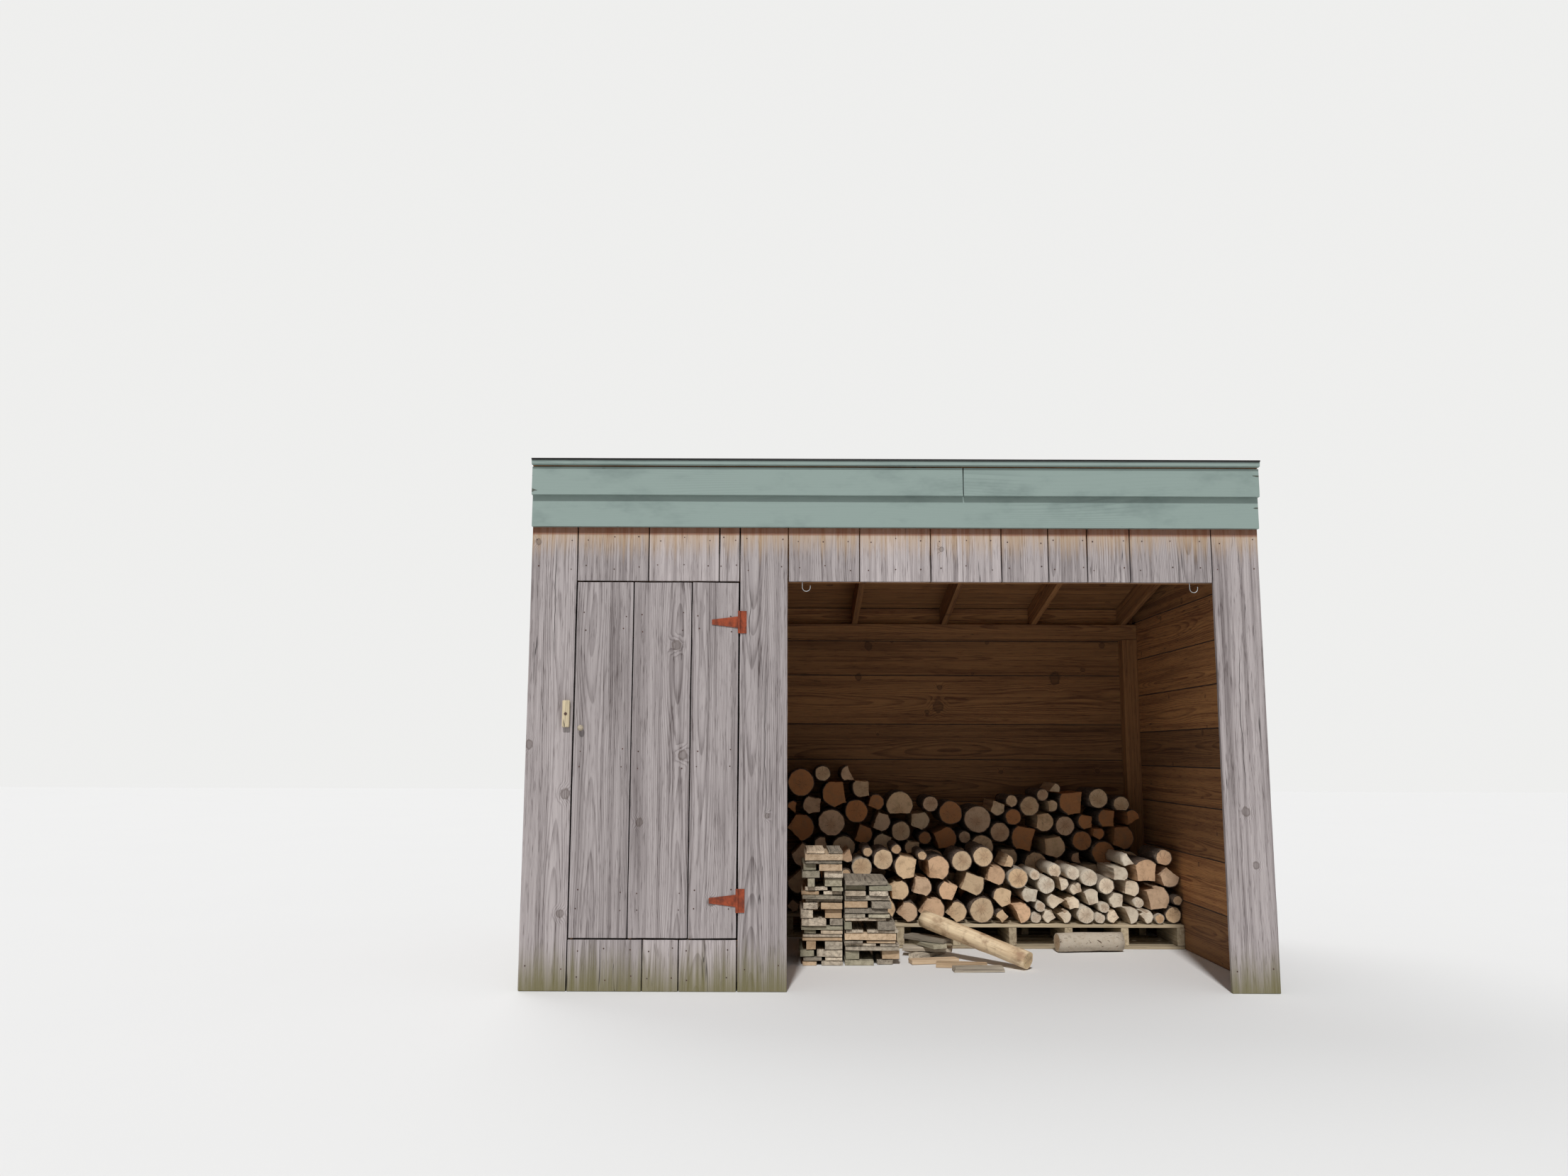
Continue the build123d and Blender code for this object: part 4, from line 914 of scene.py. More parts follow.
def log_rim(corners, x, z, radius):
    """Points round a log's end as (x, z, lies on bark), with bark as arcs and split faces straight."""
    angles = sorted(math.atan2(cz - z, cx - x) % (2 * math.pi) for cx, cz in corners)
    rim = []
    for angle, following in zip(angles, angles[1:] + [angles[0] + 2 * math.pi]):
        turn = following - angle
        barky = turn < BARK_TURN
        count = math.ceil(turn / RIM_TURN if barky else 2 * radius * math.sin(turn / 2) / RIM_LENGTH)
        start = Vector((math.cos(angle), math.sin(angle))) * radius
        end = Vector((math.cos(following), math.sin(following))) * radius
        for index in range(count):
            share = index / count
            point = start.lerp(end, share)
            if barky:
                point = Vector((math.cos(angle + turn * share), math.sin(angle + turn * share))) * radius
            rim.append((x + point.x, z + point.y, barky))
    return rim


def add_log(piece, rim, radius, front, back, picker, settings, tint, pale, pith):
    """One log: bark and split sides that wander inwards, and ends with a ring of bark."""
    seed = picker.uniform(0, 500)
    count = len(rim)
    stations = max(3, round((back - front) / settings.station))
    middle_x = sum(point[0] for point in rim) / count
    middle_z = sum(point[1] for point in rim) / count
    base = len(piece.points)
    colour = rgba(tint)

    def put(px, py, pz):
        piece.put((px, py, pz), stem=(px - pith[0], pz - pith[1], py), pale=pale, tint=colour)

    for station in range(stations + 1):
        y = front + (back - front) * station / stations
        at_end = station in (0, stations)
        for px, pz, barky in rim:
            spot = Vector((px, y * 0.35, pz))
            if barky:
                depth = 0.0055 * wander(spot, seed, 0.025) + 0.09 * radius * wander(spot, seed + 9, 0.08)
            else:
                strand = Vector((px, y * 0.08, pz))
                depth = 0.005 * wander(strand, seed, 0.011) + 0.006 * wander(spot, seed + 5, 0.05)
            skew = 0.0
            if at_end:
                depth += 0.001
                skew = 0.004 * wander(Vector((px, pz, 3.0)), seed, 0.05)
            out = Vector((px - middle_x, pz - middle_z)).normalized()
            put(px - out.x * depth, y + (skew if station == 0 else -skew), pz - out.y * depth)
    pairs = [(index, (index + 1) % count) for index in range(count)]
    for station in range(stations):
        low, high = base + station * count, base + (station + 1) * count
        for index, following in pairs:
            barky = rim[index][2]
            corners = [low + index, low + following, high + following, high + index]
            piece.span(corners, BARK if barky else SPLIT, barky)
    for station, direction in ((0, 1), (stations, -1)):
        outer = base + station * count
        inner = len(piece.points)
        middle = inner + count
        for px, py, pz in piece.points[outer:outer + count]:
            inwards = Vector((middle_x - px, middle_z - pz)).normalized() * settings.bark_thickness
            put(px + inwards.x, py, pz + inwards.y)
        put(middle_x, sum(point[1] for point in piece.points[inner:middle]) / count, middle_z)
        for index, following in pairs:
            ring = [outer + index, inner + index, inner + following, outer + following]
            fan = [inner + index, middle, inner + following]
            piece.span(ring[::direction], BARK if rim[index][2] else END)
            piece.span(fan[::direction], END)


def log_looks(name, share, height_share, is_split, radius, picker, settings):
    """Colour of a log's wood and how pale its bark is, by its place in the row."""
    pale = 0.0
    if name == "front_log_row":
        if radius < 0.056 and 0.5 < share < 0.9:
            colour, pale = settings.white_end, 1.0 if picker.random() < 0.75 else 0.4
        elif is_split:
            colour = settings.rose_end if picker.random() < 0.7 else settings.tan_end
        else:
            colour, pale = settings.tan_end, 0.5 if picker.random() < 0.3 else 0.0
    elif picker.random() < (0.4 if height_share > 0.5 else 0.12):
        colour = settings.orange_end
    else:
        colour = settings.tan_end if picker.random() < 0.6 else settings.rose_end
    shade, warmth = picker.uniform(0.78, 1.06), picker.uniform(0.96, 1.05)
    return (min(1.0, colour[0] * shade * warmth), colour[1] * shade, colour[2] * shade / warmth), pale


# Pieces that repeat on points


class PointTree(Nodes):
    """A Geometry Nodes tree with named inputs that puts a piece on every point."""

    def __init__(self, name, **inputs):
        super().__init__(bpy.data.node_groups.new(name, "GeometryNodeTree"))
        sockets = self.tree.interface
        sockets.new_socket("Geometry", in_out="INPUT", socket_type="NodeSocketGeometry")
        for label, kind in inputs.items():
            sockets.new_socket(label, in_out="INPUT", socket_type="NodeSocket" + kind)
        sockets.new_socket("Geometry", in_out="OUTPUT", socket_type="NodeSocketGeometry")
        self.given = self.tree.nodes.new("NodeGroupInput").outputs

    def random(self, seed, **limits):
        return self.add("FunctionNodeRandomValue", {"Seed": seed, **limits}, data_type="FLOAT").outputs["Value"]

    def store(self, geometry, name, value, domain):
        inputs = {"Geometry": geometry, "Name": name, "Value": value}
        node = self.add("GeometryNodeStoreNamedAttribute", inputs, data_type="FLOAT", domain=domain)
        return node.outputs["Geometry"]

    def scatter(self, mesh, rotation, scale=None):
        inputs = {"Points": self.given["Geometry"], "Instance": mesh, "Rotation": rotation, "Scale": scale}
        return self.add("GeometryNodeInstanceOnPoints", inputs).outputs["Instances"]

    def finish(self, instances):
        """Make the instances real and give them the material."""
        real = self.add("GeometryNodeRealizeInstances", {"Geometry": instances}).outputs["Geometry"]
        inputs = {"Geometry": real, "Material": self.given["Material"]}
        painted = self.add("GeometryNodeSetMaterial", inputs).outputs["Geometry"]
        self.add("NodeGroupOutput", {"Geometry": painted})
        return self.tree


def nail_tree():
    """Nail heads: a low disc on every point, turned to the direction that the point faces."""
    heads = PointTree("nail_heads", Radius="Float", Height="Float", Sides="Int", Material="Material")
    inputs = {"Radius": heads.given["Radius"], "Depth": heads.given["Height"], "Vertices": heads.given["Sides"]}
    disc = heads.add("GeometryNodeMeshCylinder", inputs, fill_type="TRIANGLE_FAN").outputs["Mesh"]
    facing = heads.add("GeometryNodeInputNamedAttribute", {"Name": "facing"}, data_type="FLOAT_VECTOR")
    facing = facing.outputs["Attribute"]
    turn = heads.add("FunctionNodeAlignRotationToVector", {"Vector": facing}, axis="Z").outputs["Rotation"]
    return heads.finish(heads.scatter(disc, turn, heads.random(4, Min=0.8, Max=1.15)))


def shingle_tree():
    """Shingle tabs: a slab on every point, tilted to the roof, that knows how far up the tab it is."""
    tabs = PointTree("shingle_tabs", Width="Float", Length="Float", Thickness="Float", Tilt="Float",
                     Material="Material")
    given = tabs.given
    size = tabs.combine(given["Width"], given["Length"], given["Thickness"])
    slab = tabs.add("GeometryNodeMeshCube", {"Size": size, "Vertices X": 4, "Vertices Y": 3}).outputs["Mesh"]
    # How far up the tab a point lies; it places the painted shadow band.
    position = tabs.add("GeometryNodeInputPosition").outputs["Position"]
    share = tabs.math("DIVIDE", tabs.parts(position)[1], given["Length"])
    slab = tabs.store(slab, "up_tab", tabs.math("MULTIPLY", share, -1.0), "POINT")
    turn = tabs.add("FunctionNodeEulerToRotation", {"Euler": tabs.combine(given["Tilt"])}).outputs["Rotation"]
    return tabs.finish(tabs.store(tabs.scatter(slab, turn), "tint", tabs.random(8), "INSTANCE"))


def scattered(name, tree, values, points, facings=()):
    """The result of a tree on loose points as a plain mesh; each facing is a point's direction."""
    mesh = bpy.data.meshes.new(name + "_points")
    mesh.from_pydata(points, [], [])
    if facings:
        facing = mesh.attributes.new("facing", "FLOAT_VECTOR", "POINT")
        facing.data.foreach_set("vector", [c for vector in facings for c in vector])
    host = linked(name + "_points", mesh)
    modifier = host.modifiers.new("nodes", "NODES")
    modifier.node_group = tree
    for item in tree.interface.items_tree:
        if item.in_out == "INPUT" and item.name in values:
            modifier[item.identifier] = values[item.name]
    return plain_copy(name, host)


# Steps


class LOGSTORE_OT_front_boards(Operator):
    """Weathered boards of the front, warm on their sheltered inner faces"""

    bl_idname = "logstore.front_boards"
    bl_label = "Front Boards"
    bl_options = {"REGISTER", "UNDO"}

    def execute(self, context):
        settings = context.scene.logstore_boards
        grey = woods(settings, "grey")
        outer = sawn_wood("weathered_front", *grey, overlay=partial(front_overlay, settings), checks=0.7,
                          knots=0.12, placed=FRONT_KNOTS)
        inner = sawn_wood("warm_front_back", linear(172, 134, 94), settings.warm_dark, settings.warm_knot)
        door = sawn_wood("weathered_door", *grey, overlay=partial(wall_overlay, settings), checks=0.6,
                         knots=0.12, placed=DOOR_KNOTS)
        for number, node in enumerate(FRONT_BOARDS):
            board_piece("weathered_", node, "shed", "weathered_boards", [outer, inner], settings,
                        self.side_of_board, seed=11 + number, grain=Vector((0, 0, 1)))
        board_piece("weathered_", "door_boards", "door", "weathered_boards", [door, inner], settings,
                    self.side_of_board, seed=31)
        return {"FINISHED"}

    def side_of_board(self, normal, middle):
        """Weathered outside and at the edges, warm inside."""
        return int(normal.y > 0.5)


class LOGSTORE_OT_walls(Operator):
    """Wall boards, grey outside and warm inside"""

    bl_idname = "logstore.walls"
    bl_label = "Walls"
    bl_options = {"REGISTER", "UNDO"}

    def execute(self, context):
        settings = context.scene.logstore_boards
        outer = sawn_wood("weathered_wall", *woods(settings, "grey"), overlay=partial(wall_overlay, settings),
                          checks=0.6, tone_spread=0.55)
        inner = sawn_wood("warm_wall", *woods(settings, "warm"), ring_depth=0.45, streak_depth=0.5, knots=0.4,
                          tone_spread=0.75, placed=BACK_KNOTS)
        # Board edges in the joints get painted shade.
        joint = sawn_wood("grimy_joint", settings.joint_shade_light, settings.joint_shade_dark, settings.warm_knot)
        for number, (node, outward) in enumerate(WALLS.items()):
            board_piece("boarded_", node, "shed", "weathered_boards", [outer, inner, joint], settings,
                        partial(self.side_of_board, outward), seed=51 + number, edge=0.0, corner=0.0034,
                        swell=WALL_SWELL)
        return {"FINISHED"}

    def side_of_board(self, outward, normal, middle):
        """Painted shade on the board edges in the joints, weathered outside and warm inside."""
        if abs(normal.z) > 0.2:
            return 2
        return 0 if normal.dot(outward) > -0.5 else 1


class LOGSTORE_OT_timber(Operator):
    """Posts, plates, rails, rafters, roof deck, closet wall, closet floor and the door's ledges"""

    bl_idname = "logstore.timber"
    bl_label = "Timber"
    bl_options = {"REGISTER", "UNDO"}

    def execute(self, context):
        settings = context.scene.logstore_boards
        warm = sawn_wood("warm_timber", *woods(settings, "warm"), ring_depth=0.4, streak_depth=0.45, knots=0.4,
                         tone_spread=0.4)
        # Painted shade on the front faces that show through the front's open joints.
        timber_shade = sawn_wood("grimy_timber", settings.joint_shade_light, settings.joint_shade_dark, settings.warm_knot)
        for number, node in enumerate(TIMBER):
            board_piece("sawn_", node, "shed", "inner_boards", [warm, timber_shade], settings,
                        self.behind_front, seed=71 + number, station=0.12, corner=0.003)
        board_piece("sawn_", "door_ledges", "door", "inner_boards", [warm, timber_shade], settings,
                    self.behind_front, seed=99)
        return {"FINISHED"}

    def behind_front(self, normal, middle):
        """Front faces right behind the front boards and the door, which show through their open joints, take the
        painted shade colour.
        """
        return int(normal.y < -0.9 and middle.y < FRONT_FACE + 0.03)


class LOGSTORE_OT_trim(Operator):
    """Painted fascia, frieze and roof edge strips"""

    bl_idname = "logstore.trim"
    bl_label = "Painted Trim"
    bl_options = {"REGISTER", "UNDO"}

    def execute(self, context):
        settings = context.scene.logstore_trim
        paint = painted_wood(settings)
        for number, node in enumerate(TRIM):
            board_piece("painted_", node, "shed", "green_paint", [paint], context.scene.logstore_boards,
                        seed=111 + number, corner=settings.corner_wear, edge=0.001, face=0.0006, station=0.15,
                        wear=True)
        return {"FINISHED"}


class LOGSTORE_OT_roof(Operator):
    """Shingles in courses over the roof covering"""

    bl_idname = "logstore.roof"
    bl_label = "Roof"
    bl_options = {"REGISTER", "UNDO"}

    def execute(self, context):
        settings = context.scene.logstore_roof
        material = shingle_material(settings)
        low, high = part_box("roof_covering")
        islands = node_islands("roof_covering")
        corners = corners_of(sum(islands, []))
        eave = self.surface_height(corners, high.y)
        slope = math.atan2(self.surface_height(corners, low.y) - eave, high.y - low.y)
        self.underlay(islands, corners, settings.underlay_drop / math.cos(slope), material)

        length = (high.y - low.y) / math.cos(slope)
        courses = round(length / settings.exposure)
        exposure = length / courses
        tab_length = exposure * TAB_COVER
        across = math.ceil((high.x - low.x) / settings.tab_width)
        width = (high.x - low.x) / across
        up_slope = Vector((0, -math.cos(slope), math.sin(slope)))
        outward = Vector((0, math.sin(slope), math.cos(slope)))
        points, edge_points = [], []
        picker = random.Random(5)
        for course in range(courses):
            at_edge = course == courses - 1
            reach = course * exposure + tab_length / 2
            if at_edge:
                reach = length - tab_length / 2 - settings.underlay_drop * math.tan(slope)
            odd = course % 2
            for tab in range(across + odd):
                x = low.x + width * (tab + 0.5 - 0.5 * odd)
                x = min(max(x, low.x + width / 2), high.x - width / 2)
                sink = ((0.0 if at_edge else settings.lift) + settings.thickness) / 2 + picker.uniform(0, 0.0003)
                point = Vector((x, high.y, eave)) + up_slope * reach - outward * sink
                (edge_points if at_edge else points).append(point)
        tree = shingle_tree()
        for name, places, gap, lift in (("roof_shingles", points, settings.gap, settings.lift),
                                        ("roof_edge_shingles", edge_points, 0.0, 0.0)):
            values = {"Width": width - gap, "Length": tab_length, "Thickness": settings.thickness,
                      "Tilt": math.atan2(lift, tab_length) - slope, "Material": material}
            seat(scattered(name, tree, values, places), "shed", "roof_shingle")
        return {"FINISHED"}

    def surface_height(self, corners, y):
        """Height of the covering's top at a depth."""
        return max(point.z for point in corners if abs(point.y - y) < 0.001)

    def underlay(self, islands, corners, drop, material):
        """The roof covering itself, its top lowered to make room for the shingles."""
        piece = PieceMesh("roof_underlay", tint="FLOAT", up_tab="FLOAT")
        for polygons in islands:
            mesh = island_mesh(polygons)
            base = len(piece.points)
            for index, vert in enumerate(mesh.verts):
                vert.index = index
                on_top = vert.co.z > self.surface_height(corners, vert.co.y) - 0.001
                piece.put(vert.co - Vector((0, 0, drop if on_top else 0.0)), tint=0.2, up_tab=0.0)
            piece.span_like(mesh, base, lambda normal, middle: 0)
            mesh.free()
        seat(piece.build([material]), "shed", "roof_shingle", "roof_covering")


class LOGSTORE_OT_door_fittings(Operator):
    """Rusted strap hinges with their screws, knob, turn button with its pin, and wire hooks"""

    bl_idname = "logstore.door_fittings"
    bl_label = "Door Fittings"
    bl_options = {"REGISTER", "UNDO"}

    def execute(self, context):
        settings = context.scene.logstore_fittings
        rust = rust_material(settings)
        for node in HINGES:
            body = "door" if node.endswith("strap") else "shed"
            self.worn_copy("rusted_" + node, node, body, "rusty_iron", rust, 0.0006)
        self.worn_copy("dark_button_pin", "button_pin", "shed", "galvanised_wire", nail_material(settings), 0.0003)
        pale = sawn_wood("pale_button_wood", settings.button_wood, darker(settings.button_wood, 0.5),
                         linear(120, 92, 60), ring_depth=0.25, streak_depth=0.25, knots=0.0, checks=0.6)
        board_piece("worn_", "turn_button", "button", "bare_wood", [pale], context.scene.logstore_boards, seed=5,
                    corner=0.003, edge=0.001, face=0.0006, station=0.012)
        self.turned_knob(settings)
        self.hooks()
        self.screws(rust)
        return {"FINISHED"}

    def worn_copy(self, name, node, body, slot, material, wear):
        """A copy of a node with its sharp edges rounded."""
        work = flat_copy(node)
        round_edges(work, wear, math.radians(30))
        for face in work.faces:
            face.smooth = len(face.verts) == 4 and face.calc_area() < EDGE_STRIP_AREA
        mesh = bpy.data.meshes.new(name)
        work.to_mesh(mesh)
        work.free()
        mesh.materials.append(material)
        seat(linked(name, mesh), body, slot, node)

    def turned_knob(self, settings):
        """The knob as a turned shape of rings."""
        low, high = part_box("door_knob")
        middle = (low + high) / 2
        radius = (high.x - low.x) / 2
        length = high.y - low.y
        last = (len(KNOB_OUTLINE) - 1) * KNOB_SIDES
        piece = PieceMesh("turned_door_knob", grain="FLOAT_VECTOR", tone="FLOAT")
        for share, size in KNOB_OUTLINE:
            for side in range(KNOB_SIDES):
                turn = 2 * math.pi * side / KNOB_SIDES
                offset = Vector((math.cos(turn), 0, math.sin(turn))) * radius * size
                piece.put(Vector((middle.x, high.y - length * share, middle.z)) + offset,
                          grain=(offset.x, offset.z + 0.01, share * length + 7.0), tone=0.3)
        for base in range(0, last, KNOB_SIDES):
            following_base = base + KNOB_SIDES
            for side in range(KNOB_SIDES):
                following = (side + 1) % KNOB_SIDES
                piece.span([base + side, base + following, following_base + following, following_base + side],
                           smooth=True)
        piece.span(list(range(KNOB_SIDES))[::-1], smooth=True)
        piece.span(list(range(last, last + KNOB_SIDES)), smooth=True)
        wood = sawn_wood("knob_wood", settings.knob_wood, darker(settings.knob_wood, 0.4), linear(60, 44, 30),
                         knots=0.0, checks=0.4)
        built = piece.build([wood])
        work = bmesh.new()
        work.from_mesh(built.data)
        bmesh.ops.recalc_face_normals(work, faces=work.faces)
        work.to_mesh(built.data)
        work.free()
        seat(built, "door", "bare_wood", "door_knob")

    def hooks(self):
        """Two round-wire hooks under the head boards, on the line of the solids."""
        low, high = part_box("wire_hooks")
        wire = (high.y - low.y) / math.sqrt(3)
        curve = bpy.data.curves.new("round_wire_hooks", "CURVE")
        curve.dimensions = "3D"
        curve.bevel_depth = wire
        curve.bevel_resolution = 3
        curve.resolution_u = 8
        curve.use_fill_caps = True
        for polygons in node_islands("wire_hooks"):
            hook_low, hook_high = island_box(polygons)
            left, right = hook_low.x + wire, hook_high.x - wire
            bend = (right - left) / 2
            centre_z = low.z + wire + bend
            path = [(left, high.z), (left, centre_z + bend * 0.3)]
            for step in range(9):
                turn = math.pi + math.pi * step / 8
                path.append((left + bend + bend * math.cos(turn), centre_z + bend * math.sin(turn)))
            path.append((right, centre_z + bend * 0.5))
            spline = curve.splines.new("NURBS")
            spline.points.add(len(path) - 1)
            for point, (x, z) in zip(spline.points, path):
                point.co = (x, (low.y + high.y) / 2, z, 1)
            spline.order_u = 3
            spline.use_endpoint_u = True
        hooks = plain_copy("round_wire_hooks", linked("hook_curve", curve))
        hooks.data.materials.clear()
        hooks.data.materials.append(wire_material())
        seat(hooks, "shed", "galvanised_wire", "wire_hooks")

    def screws(self, rust):
        """Heads of the hinge screws, made by the nail tree."""
        tree = nail_tree()
        values = {"Radius": 0.0052, "Height": 0.0012, "Sides": 12, "Material": rust}
        for body, ending, places in (("door", "strap", STRAP_SCREWS), ("shed", "plate", PLATE_SCREWS)):
            points = []
            for side in ("lower", "upper"):
                low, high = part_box(f"{side}_hinge_{ending}")
                points += [(low.x + (high.x - low.x) * across, FRONT_FACE - SCREW_PROUD,
                            low.z + (high.z - low.z) * up) for across, up in places]
            screws = scattered("hinge_screws_" + ending, tree, values, points, [(0, -1, 0)] * len(points))
            seat(screws, body, "rusty_iron")


class LOGSTORE_OT_nails(Operator):
    """Nail heads on the boards, over the timbers behind them"""

    bl_idname = "logstore.nails"
    bl_label = "Nails"
    bl_options = {"REGISTER", "UNDO"}

    def execute(self, context):
        settings = context.scene.logstore_fittings
        picker = random.Random(17)
        sets = {"shed": [], "door": []}
        # In the front, rows of nails lie over the sill, the head rail and the upper plate
        head_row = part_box("boards_over_door")[0].z + HEAD_ROW
        for node in FRONT_BOARDS:
            for polygons in node_islands(node):
                low, high = island_box(polygons)
                if node == "boards_under_door":
                    heights = [0.06, high.z - 0.05]
                elif low.z > 1:
                    heights = [high.z - PLATE_ROW, head_row]
                else:
                    heights = [SILL_ROW, head_row, high.z - PLATE_ROW]
                sets["shed"] += self.front_rows(picker, low, high, heights)
        ledges = [island_box(polygons) for polygons in node_islands("door_ledges")]
        heights = [z for bottom, top in ledges for z in (bottom.z + 0.03, top.z - 0.03)]
        for polygons in node_islands("door_boards"):
            sets["door"] += self.front_rows(picker, *island_box(polygons), heights)
        # At the back they lie over the posts, and at the sides near the corners
        for polygons in node_islands("back_wall"):
            low, high = island_box(polygons)
            for z in BACK_ROWS:
                if z < high.z - 0.02:
                    sets["shed"] += [((x, BACK_FACE, z + picker.uniform(-0.02, 0.02)), (0, 1, 0))
                                     for x in (low.x + 0.04, high.x - 0.04)]
        for node, face, way in (("left_wall", LEFT_FACE, -1), ("right_wall", RIGHT_FACE, 1)):
            flush = face - way * settings.nail_height * 1.2
            for polygons in node_islands(node):
                low, high = island_box(polygons)
                rise = min(high.z, 2.1) - low.z
                sets["shed"] += [((flush, y, low.z + rise * share), (way, 0, 0))
                                 for y in (low.y + 0.05, high.y - 0.05) for share in (0.25, 0.75)]
        tree = nail_tree()
        values = {"Radius": settings.nail_radius, "Height": settings.nail_height * 2, "Sides": settings.nail_sides,
                  "Material": nail_material(settings)}
        for body, nails in sets.items():
            points, facings = zip(*nails)
            seat(scattered(body + "_nail_heads", tree, values, points, facings), body, "rusty_iron")
        return {"FINISHED"}

    def front_rows(self, picker, low, high, heights):
        """Rows of two nails in a narrow board of the front, and of three in a wide one."""
        count = 2 if high.x - low.x < 0.3 else 3
        nails = []
        for z in heights:
            for index in range(count):
                share = 0.14 + 0.72 * index / (count - 1)
                x = low.x + (high.x - low.x) * share + picker.uniform(-0.008, 0.008)
                nails.append(((x, FRONT_FACE, z + picker.uniform(-0.014, 0.014)), (0, -1, 0)))
        return nails


class LOGSTORE_OT_firewood(Operator):
    """Both rows of logs and the two loose logs before them"""

    bl_idname = "logstore.firewood"
    bl_label = "Firewood"
    bl_options = {"REGISTER", "UNDO"}

    def execute(self, context):
        settings = context.scene.logstore_firewood
        materials = [bark_material(settings), split_face_material(), end_grain_material()]
        for seed, node in enumerate(("front_log_row", "back_log_row")):
            picker = random.Random(21 + seed)
            piece = self.log_piece("stacked_" + node)
            low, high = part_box(node)
            for polygons in node_islands(node):
                corners, front, back = end_corners(polygons)
                x, z, radius = circle_through(corners)
                rim = log_rim(corners, x, z, radius)
                is_split = not all(point[2] for point in rim)
                share, height_share = (x - low.x) / (high.x - low.x), (z - low.z) / (high.z - low.z)
                tint, pale = log_looks(node, share, height_share, is_split, radius, picker, settings)
                pith = self.pith(rim, x, z, radius, is_split, picker)
                add_log(piece, rim, radius, front, back, picker, settings, tint, pale, pith)
            seat(piece.build(materials), "shed", "firewood", node)
        self.loose(settings, materials)
        return {"FINISHED"}

    def log_piece(self, name):
        """An empty mesh whose points know their place in the stem and the log's colours."""
        return PieceMesh(name, stem="FLOAT_VECTOR", pale="FLOAT", tint="FLOAT_COLOR")

    def pith(self, rim, x, z, radius, is_split, picker):
        """Where the year rings are centred: near a round log's middle, or opposite a split log's bark."""
        if not is_split:
            return tuple(centre + picker.uniform(-PITH_SPREAD, PITH_SPREAD) * radius for centre in (x, z))
        bark = [point for point in rim if point[2]] or rim
        bark_x = sum(point[0] for point in bark) / len(bark)
        bark_z = sum(point[1] for point in bark) / len(bark)
        return (1 + SPLIT_PITH) * x - SPLIT_PITH * bark_x, (1 + SPLIT_PITH) * z - SPLIT_PITH * bark_z

    def loose(self, settings, materials):
        """The peeled log that leans on the spilled off-cuts, and the log with bark on the ground."""
        picker = random.Random(8)
        stems = []
        for polygons in node_islands("loose_logs"):
            caps = sorted(polygons, key=len)[-2:]
            middles = [sum(cap, Vector()) / len(cap) for cap in caps]
            stems.append((island_box(polygons)[1].z, middles, (caps[0][0] - middles[0]).length))
        stems.sort(key=lambda stem: stem[0])
        for (top, middles, radius), name, peeled in zip(stems, ("bark_log", "peeled_log"), (False, True)):
            near, far = sorted(middles, key=lambda middle: middle.z if peeled else middle.x)
            axis = far - near
            tint, pale = (linear(222, 198, 156), 1.0) if peeled else (linear(190, 168, 136), 0.85)
            turns = [math.radians(degrees) for degrees in range(0, 360, 12)]
            rim = [(radius * math.cos(turn), radius * math.sin(turn), True) for turn in turns]
            piece = self.log_piece(name)
            add_log(piece, rim, radius, 0.0, axis.length, picker, settings, tint, pale, (0.004, 0.003))
            turn = Vector((0, 1, 0)).rotation_difference(axis.normalized()).to_matrix().to_4x4()
            place = Matrix.Translation(near) @ turn
            piece.points = [place @ Vector(point) for point in piece.points]
            bark = self.peeled_wood() if peeled else materials[BARK]
            built = piece.build([bark] + materials[BARK + 1:])
            seat(built, "shed", "firewood", *([] if peeled else ["loose_logs"]))

    def peeled_wood(self):
        """Smooth pale stem without its bark."""
        shader = Shader("peeled_stem")
        stem = shader.attribute("stem", "Vector")
        bands = shader.noise(stem, (26, 26, 2.2), 4.0, 0.55)
        fibres = shader.noise(stem, (190, 190, 9), 3.0, 0.6)
        stains = shader.noise(shader.place(), (11, 11, 11), 3.0, 0.6)
        colour = shader.mix(shader.step(bands, 0.35, 0.7), linear(234, 212, 176), linear(192, 162, 126))
        colour = shader.mix(shader.step(stains, 0.46, 0.68, 0.0, 0.7), colour, linear(134, 98, 70))
        colour = shader.mix(shader.step(fibres, 0.52, 0.75, 0.0, 0.45), colour, linear(104, 78, 56))
        return shader.finish(colour, 0.7, shader.math("ADD", bands, fibres), 0.3, 0.002)


class LOGSTORE_OT_offcuts(Operator):
    """Pile of off-cut boards and both pallets"""

    bl_idname = "logstore.offcuts"
    bl_label = "Off-cuts and Pallets"
    bl_options = {"REGISTER", "UNDO"}

    def execute(self, context):
        settings = context.scene.logstore_firewood
        boards = context.scene.logstore_boards
        rough = sawn_wood("grey_offcut", settings.grey_light, settings.grey_dark, linear(70, 56, 42),
                          ring_depth=0.35, streak_depth=0.45, knots=0.15, checks=0.8, stains=0.8, tone_spread=1.0,
                          relief=0.7, overlay=partial(offcut_overlay, settings))
        board_piece("rough_", "offcut_stack", "shed", "grey_offcuts", [rough], boards, seed=141,
                    corner=0.0018, edge=0.009, face=0.0042, station=0.045)
        slats = sawn_wood("pallet_slat", linear(198, 182, 152), linear(122, 104, 80), linear(90, 70, 50),
                          knots=0.2, checks=0.5, tone_spread=0.5)
        for number, node in enumerate(("front_pallet", "back_pallet")):
            board_piece("slatted_", node, "shed", "grey_offcuts", [slats], boards, seed=161 + number,
                        edge=0.002, station=0.09)
        return {"FINISHED"}


